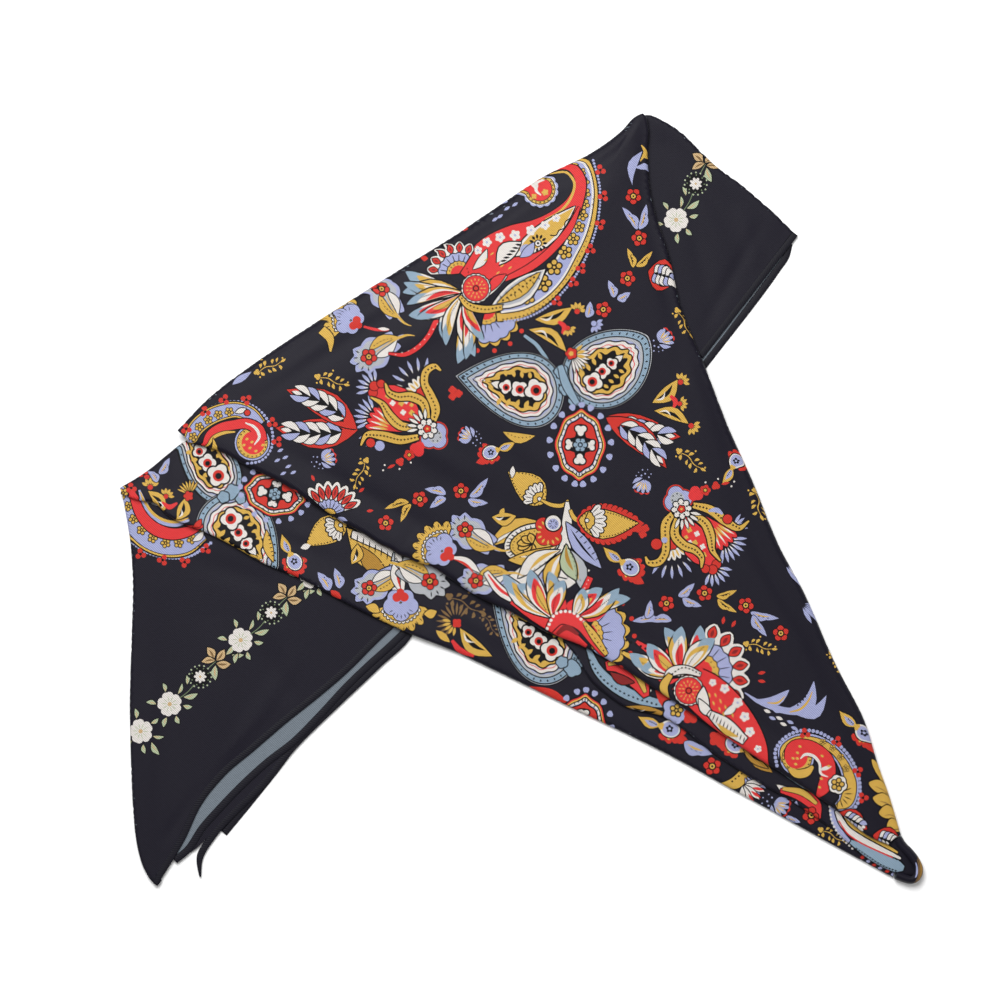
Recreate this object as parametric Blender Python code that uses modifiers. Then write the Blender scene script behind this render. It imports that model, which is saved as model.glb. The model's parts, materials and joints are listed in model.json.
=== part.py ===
"""A silk square, folded corner to corner, gathered into pleats and laid flat on a table.

The frame is the table's: +Z is up, z = 0 is the table, and the origin lies under the middle of the
scarf's outline.  Lengths in the tables are millimetres.  Every stretch of cloth is a wall spread
between two edge lines, A and B.  A folded edge rolls over and tucks a lip underneath, and a cut edge
stops at its hem.
"""
import math
from collections import namedtuple

import bpy
import numpy as np

MM = 0.001

# The cloth wall, its hems and the clearance between two stretches that lie on each other.
WALL = 1.0
HEM_WIDTH = 5.0
HEM_WALL = 1.2
GAP = 0.35
RIM_WIDTH = 13.0      # how far in from a crest its rise dies away
RIM_SHARE = 0.35      # and at most this share of a narrow stretch's width
ROLL_STEPS = 4        # faces round a rolled edge
LIP_STEPS = 1         # faces across a tucked lip
SHARP_ANGLE = 50      # degrees, from which an edge between two faces shades sharp

# How far the folds hidden in the middle stay behind the panel's two edges, and how they are layered.
CORE_INSET_A = 20.5
CORE_INSET_B = 19.0
CORE_PLIES = 3
CORE_PLY_BULGE = 1.2
CORE_TOP_STEPS = 7
CORE_HEADROOM = 1.3   # between the hidden folds and the panel, for the panel's own creases
CORE_STEP = 2         # each section of the core lies at every second one of the panel's
CORE_END_NARROWING = (0.3, 0.1, 0)   # of its width, from its end section inwards
CLEAR_STEPS = 100     # steps across the panel in the search for room for the core

COLLECTION = "silk_scarf_folded"

Spread = namedtuple("Spread", "a_x a_y b_x b_y")
Level = namedtuple("Level", "row a_low a_top a_lip a_in mid b_in b_top b_low b_lip")
Crease = namedtuple("Crease", "x0 y0 x1 y1 height width")
HoodPoint = namedtuple("HoodPoint", "inward height")
Finish = namedtuple("Finish", "name colour roughness")

PRINTED = Finish("printed_silk", (0.022, 0.022, 0.034), 0.45)
REVERSE = Finish("reverse_silk", (0.12, 0.16, 0.19), 0.55)
HEMMED = Finish("rolled_hem", (0.014, 0.015, 0.026), 0.5)

# Main panel: A runs from the left nose up the long fold to the peak and down the right side to the
# tip, and B is the crest that hangs over the pleats.
MAIN_PLAN = [
    Spread(-237, 48, -230, 39.5),
    Spread(-213.5, 72, -209, 34),
    Spread(-183, 95, -192, 25),
    Spread(-153, 115.3, -179, 18.5),
    Spread(-115, 139.5, -163, 10.5),
    Spread(-84, 159, -149.5, 1.5),
    Spread(-49.5, 180.3, -135.5, -7.5),
    Spread(-15, 203.4, -122, -16),
    Spread(16, 223.5, -108.5, -23.5),
    Spread(47.5, 239, -96.5, -31),
    Spread(59, 246.5, -90, -34),
    Spread(69.5, 255, -84, -38),
    Spread(78, 263.8, -79, -39.5),
    Spread(84.5, 266.2, -75, -41.5),
    Spread(87.5, 256.5, -70.5, -43.5),
    Spread(87, 241.5, -63, -45.5),
    Spread(90, 207, -48, -55),
    Spread(101, 171, -28.5, -67.5),
    Spread(110.5, 131, -6.5, -77.5),
    Spread(126, 93, 16, -90.5),
    Spread(142, 51.5, 40.5, -100),
    Spread(158.8, 14, 66.5, -114),
    Spread(177.3, -31, 95.5, -132.5),
    Spread(194.3, -63, 123, -151),
    Spread(216.4, -113, 159, -175.5),
    Spread(236.3, -152, 192, -196.5),
    Spread(246, -183, 217, -214),
    Spread(254.5, -207, 237.5, -230.5),
    Spread(261.5, -231, 252.4, -237.3),
]
MAIN_LEVELS = [
    Level(0, 5.8, 10.4, 1.0, 10.4, 10.4, 10.4, 10.4, 5.8, 1.0),
    Level(1.5, 3.0, 9.6, 3, 10.2, 10.8, 10.8, 12.4, 5.8, 4),
    Level(3, 0, 8.0, 7, 10.2, 11.2, 10.8, 13.0, 5.8, 7),
    Level(9, 0, 7.6, 9, 10.2, 12.2, 10.6, 13.2, 5.8, 8),
    Level(11, 1.0, 8.2, 3, 10.2, 12.2, 10.6, 13.2, 5.8, 8),
    Level(12, 4.0, 9.0, 1.0, 10.2, 12.2, 10.6, 13.2, 5.8, 8),
    Level(13, 4.4, 9.0, 0.8, 10.2, 12.2, 10.6, 13.2, 5.8, 8),
    Level(14, 4.2, 9.0, 0.8, 10.2, 12.2, 10.6, 13.2, 5.8, 8),
    Level(16, 3.8, 9.4, 6, 10.2, 12.0, 10.6, 13.2, 5.8, 8),
    Level(18, 3.8, 9.4, 7, 10.2, 11.8, 10.8, 13.4, 6.2, 8),
    Level(19.4, 3.8, 9.4, 7, 10.4, 11.6, 11.4, 13.8, 7.4, 8),
    Level(20.6, 0, 8.6, 8, 10.2, 11.4, 11.8, 14.4, 8.6, 8),
    Level(24, 0, 8.0, 8, 9.8, 11.2, 11.8, 14.4, 8.6, 7),
    Level(26, 0, 7.8, 5, 9.4, 10.6, 11.4, 13.4, 8.5, 4),
    Level(28, 0, 7.0, 2, 8.4, 9.4, 10.4, 11.6, 8.0, 1.5),
]
MAIN_CREASES = [
    Crease(-100, 120, 110, -60, 1.0, 16),
    Crease(20, 190, 150, -50, -0.9, 18),
    Crease(-150, 70, 40, -40, -0.8, 14),
    Crease(60, -60, 215, -190, 0.8, 10),
]

# Lower pleat: A is its fold at the left shoulder, and further on its roll hidden under the crest.
LOWER_PLAN = [
    Spread(-276.8, 8.5, -276.2, 4),
    Spread(-266.5, 14.4, -263, -0.5),
    Spread(-256.5, 21.2, -253, -2),
    Spread(-244, 31.5, -244, -10.5),
    Spread(-232, 40.5, -232, -17),
    Spread(-215, 44, -218.5, -22),
    Spread(-192, 41.5, -201, -30.5),
    Spread(-171.5, 32, -179, -43),
    Spread(-145, 16.5, -153, -54),
    Spread(-117.5, -0.5, -125, -69),
    Spread(-90, -17, -99, -82),
    Spread(-66, -29, -75, -93),
    Spread(-38.5, -43.5, -49.5, -103),
    Spread(-7, -61.5, -21.5, -116),
    Spread(24, -77, 9.5, -130.9),
    Spread(55, -90, 40.5, -146.2),
    Spread(89.5, -110, 71.5, -160.8),
    Spread(124, -134, 106, -178.1),
    Spread(157.5, -157.5, 140.5, -197),
    Spread(188, -180.5, 175, -215.8),
    Spread(214.5, -199.5, 206, -233.1),
    Spread(236.5, -219, 226.5, -244.2),
    Spread(255.5, -237, 255.5, -260),
]
LOWER_LEVELS = [
    Level(0, 4.8, 7.6, 0.4, 7.6, 7.6, 7.6, 7.6, 4.8, 0.4),
    Level(1, 3.0, 7.6, 1, 8.2, 8.4, 8.6, 8.8, 4.8, 2),
    Level(2, 0, 7.2, 3, 7.8, 8.2, 8.6, 9.2, 4.8, 5),
    Level(3.5, 0, 5.2, 5, 5.2, 6.6, 8.0, 9.4, 4.8, 6),
    Level(5, 0, 5.0, 6, 5.0, 5.8, 8.0, 9.4, 4.8, 6),
    Level(10.4, 0, 5.0, 6, 5.0, 5.8, 7.6, 9.2, 4.8, 6),
    Level(11.3, 0, 5.0, 6, 5.0, 5.8, 6.8, 7.8, 3.4, 6),
    Level(12.4, 0, 5.0, 6, 5.0, 5.2, 5.2, 5.8, 0, 6),
    Level(15, 0, 4.6, 6, 4.6, 4.6, 4.6, 5.0, 0, 6),
    Level(19, 0, 4.4, 4, 4.4, 4.5, 4.5, 4.6, 0, 4),
    Level(22, 0, 4.2, 1.5, 4.2, 4.3, 4.3, 4.4, 0, 1.5),
]
LOWER_CREASES = [
    Crease(-215, 10, -120, -40, 0.7, 6),
    Crease(-60, -70, 60, -135, 0.5, 6),
]

# Middle pleat: A is tucked under the crest, and B is the second crest.  Its end reaches into the loop
# at the tip.
MIDDLE_PLAN = [
    Spread(27.5, -86, 28, -96.5),
    Spread(39, -90, 37, -107),
    Spread(50.5, -94, 47.5, -124),
    Spread(63, -101, 57.5, -133),
    Spread(76, -108.5, 69.5, -141.5),
    Spread(90, -116.5, 82, -145.5),
    Spread(106, -127.5, 95.5, -148.5),
    Spread(128, -143, 116.5, -162),
    Spread(145, -154, 131.5, -174),
    Spread(172.5, -174.5, 164.5, -195.5),
    Spread(196.5, -189.5, 182, -205),
    Spread(215.5, -203.5, 206, -221),
    Spread(230, -215.5, 220, -232),
    Spread(244.5, -228, 235, -245),
    Spread(257, -234, 250.5, -253.5),
    Spread(264, -241, 258, -257),
    Spread(272.4, -251.5, 270.4, -259.5),
]
MIDDLE_LEVELS = [
    Level(0, 0, 6.2, 0, 6.2, 6.6, 7.2, 7.6, 5.1, 0.5),
    Level(3, 0, 7.2, 0, 7.2, 7.6, 8.0, 8.6, 5.1, 4),
    Level(8, 0, 7.6, 0, 7.6, 7.8, 8.0, 8.8, 5.0, 4),
    Level(13.6, 0, 7.2, 0, 7.2, 7.2, 7.3, 7.5, 4.8, 1.5),
    Level(14.8, 0, 6.8, 0, 6.8, 6.8, 6.8, 7.0, 4.8, 1.2),
    Level(16, 0, 5.0, 0, 5.0, 5.0, 5.0, 5.2, 2.4, 1),
]

# Lower left corner, three layers: each runs from its left side to the hem line.
CORNER_TOP_PLAN = [
    Spread(-255.8, -261.8, -247.2, -259.3),
    Spread(-259.5, -256, -242, -251.2),
    Spread(-263, -247, -232, -234),
    Spread(-266, -233, -222, -212.5),
    Spread(-268.3, -207, -205.5, -191),
    Spread(-269.6, -172.5, -184, -172.5),
    Spread(-270.2, -138, -162.5, -154),
    Spread(-269, -96.5, -140.5, -136.5),
    Spread(-268.2, -55, -118.5, -117.5),
    Spread(-270, -27.5, -97.5, -96.5),
    Spread(-273.2, -8, -80.5, -80.5),
    Spread(-275.4, 3.5, -71.5, -70.5),
]
CORNER_TOP_TIP = (-251, -266)
CORNER_TOP_LEVELS = [
    Level(0, 0, 4.2, 0.2, 4.1, 4.1, 4.1, 4.1, 3.1, 0),
    Level(1, 0, 4.3, 0.8, 4.1, 4.1, 4.1, 4.1, 3.1, 0),
    Level(4, 0, 4.4, 5, 4.1, 4.2, 4.1, 4.1, 3.1, 0),
    Level(8, 0, 4.4, 6, 4.1, 4.2, 4.1, 4.1, 3.1, 0),
    Level(11, 0, 4.2, 3, 4.2, 4.2, 4.2, 4.2, 3.1, 0),
]
CORNER_MIDDLE_PLAN = [
    Spread(-238, -252.3, -219.8, -248),
    Spread(-242, -239, -211, -233),
    Spread(-247, -222, -197, -217.5),
    Spread(-251, -200, -179, -200),
    Spread(-253, -172.5, -154, -170),
    Spread(-255, -138, -125, -141.6),
    Spread(-256.5, -96.5, -97.5, -115.6),
    Spread(-256.5, -69, -76, -94.5),
    Spread(-256.5, -41.5, -70, -83),
]
CORNER_MIDDLE_TIP = (-220.8, -259.8)
CORNER_MIDDLE_LEVELS = [
    Level(0, 0, 2.6, 0, 2.6, 2.6, 2.6, 2.6, 1.55, 0),
    Level(8, 0, 2.6, 0, 2.6, 2.6, 2.6, 2.6, 1.55, 0),
]
CORNER_BOTTOM_PLAN = [
    Spread(-222, -226, -203.3, -231.4),
    Spread(-235.5, -207, -184, -208),
    Spread(-241, -186.5, -168, -188),
    Spread(-246, -152, -149.5, -163.5),
    Spread(-249.5, -110.5, -118.5, -133),
    Spread(-249.5, -69, -84, -98.5),
]
CORNER_BOTTOM_LEVELS = [
    Level(0, 0, 1.0, 0, 1.0, 1.0, 1.0, 1.0, 0, 0),
    Level(5, 0, 1.0, 0, 1.0, 1.0, 1.0, 1.0, 0, 0),
]

# Flap at the upper right, two layers: A is its fold, B lies hidden under the panel's right side, and
# the last section runs along its hem.
FLAP_TOP_PLAN = [
    Spread(80, 264.2, 109, 90),
    Spread(88, 265.6, 110.3, 91.2),
    Spread(96.5, 262.2, 111.6, 92.4),
    Spread(109.5, 254.2, 112.9, 93.6),
    Spread(123, 241, 114.2, 94.8),
    Spread(133.5, 230.8, 115.5, 96),
    Spread(151, 218, 116.8, 97.3),
    Spread(164.5, 206.6, 118.1, 98.5),
    Spread(175, 197.2, 119.3, 99.7),
    Spread(186.1, 186, 120.6, 101),
]
FLAP_TOP_HEM = [(190.6, 182.2), (125, 97.6)]
FLAP_TOP_LEVELS = [
    Level(0, 0, 3.2, 1, 2.9, 2.9, 2.9, 2.9, 1.6, 0),
    Level(2, 0, 4.0, 4, 3.0, 3.0, 3.0, 3.0, 1.6, 0),
    Level(8, 0, 4.0, 4, 3.0, 3.0, 3.0, 3.0, 1.6, 0),
    Level(9, 0, 3.6, 2, 3.0, 3.0, 3.0, 3.0, 1.6, 0),
]
FLAP_UNDER_PLAN = [
    Spread(96, 249, 109, 90.4),
    Spread(123, 227, 112.4, 91.2),
    Spread(151, 204, 115.9, 92),
    Spread(168, 184, 119.4, 93),
    Spread(179.4, 169.3, 122.9, 93.9),
]
FLAP_UNDER_HEM = [(187, 176.4), (184.6, 167.2), (178.3, 157.8), (127.2, 90.6)]
FLAP_UNDER_LEVELS = [
    Level(0, 0, 1.0, 0, 1.0, 1.0, 1.0, 1.0, 0, 0),
    Level(4, 0, 1.0, 0, 1.0, 1.0, 1.0, 1.0, 0, 0),
]

# The loop of cloth at the right tip: its outline, and how its wall bulges and curls in.
TIP_OUTLINE = [
    (261.8, -231.5), (264.6, -236), (269.2, -240.6), (273.4, -246), (276, -251), (276.8, -255),
    (275.8, -259.5), (273, -263), (268.3, -264.6), (262.5, -263.3), (256.8, -261),
]
TIP_PROFILE = [
    HoodPoint(5.8, 0.5), HoodPoint(2.2, 0.5), HoodPoint(0.9, 1.6), HoodPoint(0.5, 4.2),
    HoodPoint(0.9, 7.2), HoodPoint(2.4, 9.2), HoodPoint(4.2, 9.5), HoodPoint(5.4, 8.5),
]
TIP_STEPS = 2
HEM_STEPS = 3
TIP_NARROWING = 0.7   # of a hem's width, at a corner's tip


def hermite(knots, values, at):
    """Smooth curve through the values, whose slope at a knot is the weighted mean of its neighbours'."""
    knots = np.asarray(knots, float)
    values = np.asarray(values, float)
    gaps = np.diff(knots)
    slopes = np.diff(values, axis=0) / gaps[:, None]
    tangents = np.vstack([slopes[:1], np.zeros_like(slopes[1:]), slopes[-1:]])
    before, after = gaps[:-1, None], gaps[1:, None]
    tangents[1:-1] = (slopes[:-1] * after + slopes[1:] * before) / (before + after)
    i = np.clip(np.searchsorted(knots, at, side="right") - 1, 0, len(gaps) - 1)
    f = ((at - knots[i]) / gaps[i])[:, None]
    h = gaps[i][:, None]
    return (
        (2 * f**3 - 3 * f**2 + 1) * values[i]
        + (f**3 - 2 * f**2 + f) * h * tangents[i]
        + (3 * f**2 - 2 * f**3) * values[i + 1]
        + (f**3 - f**2) * h * tangents[i + 1]
    )


def eased(knots, values, at):
    """Values that ease from one knot to the next and never pass beyond either."""
    knots = np.asarray(knots, float)
    i = np.clip(np.searchsorted(knots, at, side="right") - 1, 0, len(knots) - 2)
    f = np.clip((at - knots[i]) / (knots[i + 1] - knots[i]), 0, 1)
    f = (f * f * (3 - 2 * f))[:, None]
    values = np.asarray(values, float)
    return values[i] * (1 - f) + values[i + 1] * f


def inward(line, side):
    """Unit normals of a line in plan, to its right (side 1) or to its left (side -1)."""
    along = np.gradient(line, axis=0)
    along /= np.linalg.norm(along, axis=1)[:, None]
    return side * np.stack([along[:, 1], -along[:, 0]], 1)


class Stretch:
    """Sections of one stretch of cloth: its edge lines, their inward normals and its levels."""

    def __init__(self, plan, levels, steps):
        plan = np.array(plan)
        hops = np.linalg.norm(np.diff(plan[:, :2], axis=0), axis=1)
        hops += np.linalg.norm(np.diff(plan[:, 2:], axis=0), axis=1)
        run = np.concatenate([[0], np.cumsum(hops)])
        row = np.linspace(0, len(plan) - 1, (len(plan) - 1) * steps + 1)
        lines = hermite(run, plan, np.interp(row, np.arange(len(plan)), run))
        self.a, self.b = lines[:, :2], lines[:, 2:]
        self.in_a, self.in_b = inward(self.a, 1), inward(self.b, -1)
        told = eased([x.row for x in levels], np.array(levels)[:, 1:], row)
        self.level = Level(row, *told.T)


def rolled_edge(edge, normal, low, top, lip):
    """Rows from a lip's free end, round the roll, to just before its top, each (plan, height)."""
    radius = (top - low - WALL) / 2
    middle = (top + low) / 2
    rows = []
    for k in range(LIP_STEPS, 0, -1):
        inset = radius + WALL / 2 + lip * k / LIP_STEPS
        rows.append((edge + normal * inset[:, None], low + WALL / 2))
    for k in range(ROLL_STEPS):
        angle = -math.pi / 2 + math.pi * k / ROLL_STEPS
        inset = radius + WALL / 2 - radius * math.cos(angle)
        rows.append((edge + normal * inset[:, None], middle + radius * math.sin(angle)))
    return rows


def crease_rise(creases, plan):
    """Height that the soft ridges and troughs add at points in plan, each fading at its ends."""
    rise = np.zeros(len(plan))
    for crease in creases:
        start = np.array([crease.x0, crease.y0])
        length = math.hypot(crease.x1 - crease.x0, crease.y1 - crease.y0)
        along = (np.array([crease.x1, crease.y1]) - start) / length
        offset = plan - start
        run = np.clip(offset @ along / length, 0, 1)
        across = offset @ np.array([-along[1], along[0]])
        rise += crease.height * np.sin(math.pi * run) * np.exp(-((across / crease.width) ** 2))
    return rise


def top_line(stretch, share, start_a, start_b, creases):
    """Plan and outer height of the top at a share of the way from A's inner line to B's."""
    level = stretch.level
    inner_a = stretch.a + stretch.in_a * start_a[:, None]
    inner_b = stretch.b + stretch.in_b * start_b[:, None]
    share = np.broadcast_to(share, len(inner_a))[:, None]
    plan = inner_a * (1 - share) + inner_b * share
    width = np.linalg.norm(inner_b - inner_a, axis=1)
    share = share[:, 0]
    pull = 2 * level.mid - (level.a_in + level.b_in) / 2
    base = (1 - share) ** 2 * level.a_in + 2 * share * (1 - share) * pull + share**2 * level.b_in
    rim = np.minimum(RIM_WIDTH, RIM_SHARE * width)
    near_a = np.exp(-((share * width / rim) ** 2))
    near_b = np.exp(-(((1 - share) * width / rim) ** 2))
    edges = np.minimum(1, np.minimum(share, 1 - share) * width / RIM_WIDTH)
    height = base + (level.a_top - level.a_in) * near_a + (level.b_top - level.b_in) * near_b
    return plan, height + edges * crease_rise(creases, plan)


def sheet_rows(stretch, across, rolled, trims, creases):
    """All rows of a stretch's middle surface, from A's lip over the top to B's lip."""
    level = stretch.level
    none = np.zeros(len(stretch.a))
    rolled_a, rolled_b = rolled
    start_a = (level.a_top - level.a_low) / 2 if rolled_a else none + trims[0]
    start_b = (level.b_top - level.b_low) / 2 if rolled_b else none + trims[1]
    rows = []
    if rolled_a:
        rows += rolled_edge(stretch.a, stretch.in_a, level.a_low, level.a_top, level.a_lip)
    for k in range(across + 1):
        share = (1 - math.cos(math.pi * k / across)) / 2
        plan, height = top_line(stretch, share, start_a, start_b, creases)
        rows.append((plan, height - WALL / 2))
    if rolled_b:
        far = rolled_edge(stretch.b, stretch.in_b, level.b_low, level.b_top, level.b_lip)
        rows += reversed(far)
    return rows


def new_mesh_object(name, points, faces, finish):
    """A smooth-shaded object in the scarf's collection, with its own material, from metre points."""
    mesh = bpy.data.meshes.new(name)
    mesh.from_pydata([tuple(p) for p in points], [], faces)
    mesh.validate()
    mesh.update()
    mesh.shade_smooth()
    mesh.set_sharp_from_angle(angle=math.radians(SHARP_ANGLE))
    mesh.materials.append(cloth_material(f"{finish.name}_{name}", finish))
    thing = bpy.data.objects.new(name, mesh)
    bpy.data.collections[COLLECTION].objects.link(thing)
    return thing


def cloth_material(name, finish):
    """A Principled material in the finish's colour."""
    material = bpy.data.materials.new(name)
    material.use_nodes = True
    shader = material.node_tree.nodes["Principled BSDF"]
    shader.inputs["Base Color"].default_value = (*finish.colour, 1)
    shader.inputs["Roughness"].default_value = finish.roughness
    shader.inputs["Metallic"].default_value = 0
    return material


def grid_faces(rows, columns):
    """Quads of a grid of points that is listed row by row, facing up where rows run from A to B."""
    faces = []
    for i in range(rows - 1):
        for j in range(columns - 1):
            a = i * columns + j
            faces.append((a, a + columns, a + columns + 1, a + 1))
    return faces


def cloth_wall(name, rows, wall, finish):
    """A wall of even thickness round the middle surface that the rows describe."""
    points = np.concatenate([np.column_stack([plan, height]) for plan, height in rows]) * MM
    thing = new_mesh_object(name, points, grid_faces(len(rows), len(rows[0][0])), finish)
    thickness = thing.modifiers.new("wall", "SOLIDIFY")
    thickness.thickness = wall * MM
    thickness.offset = 0
    thickness.use_even_offset = True
    return thing


def panel(name, plan, levels, across, rolled=(False, False), trims=(0, 0), creases=(), steps=2,
          finish=PRINTED):
    """One stretch of cloth: returns its sections."""
    stretch = Stretch(plan, levels, steps)
    rows = sheet_rows(stretch, across, rolled, trims, creases)
    cloth_wall(name, rows, WALL, finish)
    return stretch


def smooth_line(corners, steps):
    """Points along a smooth line through the corners."""
    corners = np.array(corners, float)
    run = np.concatenate([[0], np.cumsum(np.linalg.norm(np.diff(corners, axis=0), axis=1))])
    row = np.linspace(0, len(corners) - 1, (len(corners) - 1) * steps + 1)
    return hermite(run, corners, np.interp(row, np.arange(len(corners)), run))


def hem(name, edge, normal, low):
    """A narrow folded band that lies along a cut edge, whose outline the edge is."""
    middle = np.broadcast_to(low + HEM_WALL / 2, len(edge))
    rows = [(edge + normal * inset, middle) for inset in (HEM_WIDTH - HEM_WALL / 2, HEM_WALL / 2)]
    cloth_wall(name, rows, HEM_WALL, HEMMED)


def pointed_hem(name, corner, tip, low):
    """The hem along a corner's edge B, which narrows to the corner's own tip."""
    hem(name, np.vstack([tip, corner.b]), np.vstack([corner.in_b[0] * TIP_NARROWING, corner.in_b]), low)


def tip_loop():
    """The open loop at the right tip: the wall's profile carried round its outline."""
    outline = smooth_line(TIP_OUTLINE, TIP_STEPS)
    normal = inward(outline, 1)
    rows = [(outline + normal * p.inward, np.full(len(outline), p.height)) for p in TIP_PROFILE]
    cloth_wall("tip_roll", rows, WALL, PRINTED)


def clear_shares(main, inner_a, inner_b):
    """For each section, the first and last share that lie clear of every part of the panel's edges."""
    shares = np.linspace(0, 1, CLEAR_STEPS + 1)
    points = inner_a[:, None] * (1 - shares)[None, :, None] + inner_b[:, None] * shares[None, :, None]
    to_a = np.linalg.norm(points[:, :, None] - main.a, axis=3).min(2)
    to_b = np.linalg.norm(points[:, :, None] - main.b, axis=3).min(2)
    clear = (to_a > CORE_INSET_A) & (to_b > CORE_INSET_B)
    first = shares[np.argmax(clear, axis=1)]
    last = shares[len(shares) - 1 - np.argmax(clear[:, ::-1], axis=1)]
    return first, last, np.flatnonzero(clear.any(1))


def hidden_layers(main):
    """The folds inside the main panel: one rounded solid whose sides are layered like its plies."""
    level = main.level
    start_a = (level.a_top - level.a_low) / 2
    start_b = (level.b_top - level.b_low) / 2
    inner_a = main.a + main.in_a * start_a[:, None]
    inner_b = main.b + main.in_b * start_b[:, None]
    first, last, kept = clear_shares(main, inner_a, inner_b)
    kept = kept[::CORE_STEP]
    first, last = first[kept], last[kept]
    across = (inner_b - inner_a)[kept]
    across /= np.linalg.norm(across, axis=1)[:, None]
    from_end = np.minimum(np.arange(len(kept)), np.arange(len(kept))[::-1])
    narrowing = np.interp(from_end, range(len(CORE_END_NARROWING)), CORE_END_NARROWING) * (last - first)
    first, last = first + narrowing, last - narrowing

    def under_panel(share):
        whole = np.zeros(len(main.a))
        whole[kept] = share
        plan, top = top_line(main, whole, start_a, start_b, ())
        return plan[kept], top[kept] - WALL - CORE_HEADROOM

    sides = []
    for outward, share in ((-1, first), (1, last)):
        plan, top = under_panel(share)
        plies = []
        for k in range(2 * CORE_PLIES + 1):
            bulge = CORE_PLY_BULGE * (k % 2) * outward
            plies.append((plan + across * bulge, top * k / (2 * CORE_PLIES)))
        sides.append(plies)
    steps = np.arange(1, CORE_TOP_STEPS) / CORE_TOP_STEPS
    tops = [under_panel(first + (last - first) * step) for step in steps]
    ring = sides[0] + tops + sides[1][::-1]
    points = np.concatenate([np.column_stack([plan, height]) for plan, height in ring]) * MM
    sections, around = len(kept), len(ring)
    faces = []
    for i in range(around):
        for j in range(sections - 1):
            a, b = i * sections + j, (i + 1) % around * sections + j
            faces.append((a, b, b + 1, a + 1))
    faces.append(tuple(i * sections for i in reversed(range(around))))
    faces.append(tuple(i * sections + sections - 1 for i in range(around)))
    new_mesh_object("hidden_layers", points, faces, PRINTED)


def clear_scene():
    """Removes what the file held and makes the scarf's collection."""
    for thing in list(bpy.data.objects):
        bpy.data.objects.remove(thing)
    group = bpy.data.collections.new(COLLECTION)
    bpy.context.scene.collection.children.link(group)


def build():
    """Builds every stretch, hem and the hidden layers."""
    clear_scene()
    main = panel("main_panel", MAIN_PLAN, MAIN_LEVELS, 10, rolled=(True, True), creases=MAIN_CREASES)
    hidden_layers(main)
    panel("lower_pleat", LOWER_PLAN, LOWER_LEVELS, 5, rolled=(True, True), creases=LOWER_CREASES)
    panel("middle_pleat", MIDDLE_PLAN, MIDDLE_LEVELS, 3, rolled=(False, True))
    tip_loop()

    hemmed = (0, HEM_WIDTH + GAP)
    corner = panel("corner_top", CORNER_TOP_PLAN, CORNER_TOP_LEVELS, 5, rolled=(True, False), trims=hemmed)
    pointed_hem("hem_corner_top", corner, CORNER_TOP_TIP, CORNER_TOP_LEVELS[0].b_low)
    corner = panel("corner_middle", CORNER_MIDDLE_PLAN, CORNER_MIDDLE_LEVELS, 4, trims=hemmed,
                   steps=1, finish=REVERSE)
    pointed_hem("hem_corner_middle", corner, CORNER_MIDDLE_TIP, CORNER_MIDDLE_LEVELS[0].b_low)
    corner = panel("corner_bottom", CORNER_BOTTOM_PLAN, CORNER_BOTTOM_LEVELS, 4, trims=hemmed, steps=1)
    hem("hem_corner_bottom", corner.b, corner.in_b, CORNER_BOTTOM_LEVELS[0].b_low)

    panel("flap_top", FLAP_TOP_PLAN, FLAP_TOP_LEVELS, 6, rolled=(True, False), steps=1)
    edge = smooth_line(FLAP_TOP_HEM, HEM_STEPS)
    hem("hem_flap_top", edge, inward(edge, 1), FLAP_TOP_LEVELS[0].b_low)
    panel("flap_under", FLAP_UNDER_PLAN, FLAP_UNDER_LEVELS, 4, steps=1, finish=REVERSE)
    edge = smooth_line(FLAP_UNDER_HEM, HEM_STEPS)
    hem("hem_flap_under", edge, inward(edge, 1), FLAP_UNDER_LEVELS[0].b_low)


if __name__ == "__main__":
    build()
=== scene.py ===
"""Looks of a printed silk square, folded corner to corner and laid flat.

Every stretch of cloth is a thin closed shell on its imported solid.  A stretch is unrolled into a flat
chart: plan coordinates on its top, arc lengths round its rolled edges.  The print is drawn in that
chart as plain polygons, and the shell's triangles follow those of their edges that show.  Lengths
are millimetres.
"""
import json
import logging
import math
from collections.abc import Callable
from dataclasses import dataclass, field
from enum import Enum

import bpy
import numpy as np
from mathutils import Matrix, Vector, geometry

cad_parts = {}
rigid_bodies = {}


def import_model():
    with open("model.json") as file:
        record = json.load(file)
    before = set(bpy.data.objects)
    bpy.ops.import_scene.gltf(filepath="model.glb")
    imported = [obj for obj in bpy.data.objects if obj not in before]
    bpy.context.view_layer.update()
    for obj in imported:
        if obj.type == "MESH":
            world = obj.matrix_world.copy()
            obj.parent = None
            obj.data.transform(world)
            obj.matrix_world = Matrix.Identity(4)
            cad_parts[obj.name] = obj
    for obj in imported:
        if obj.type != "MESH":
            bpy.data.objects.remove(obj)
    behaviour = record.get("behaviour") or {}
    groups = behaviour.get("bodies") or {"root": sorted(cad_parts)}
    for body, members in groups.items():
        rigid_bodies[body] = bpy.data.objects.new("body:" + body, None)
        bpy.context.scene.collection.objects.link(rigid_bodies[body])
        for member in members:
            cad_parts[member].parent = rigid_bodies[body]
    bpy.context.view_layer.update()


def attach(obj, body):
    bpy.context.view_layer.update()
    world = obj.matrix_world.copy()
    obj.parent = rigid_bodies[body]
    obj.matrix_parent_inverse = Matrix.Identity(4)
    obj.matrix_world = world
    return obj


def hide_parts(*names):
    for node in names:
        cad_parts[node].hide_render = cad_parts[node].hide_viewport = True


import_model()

log = logging.getLogger("silk_square")

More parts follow.
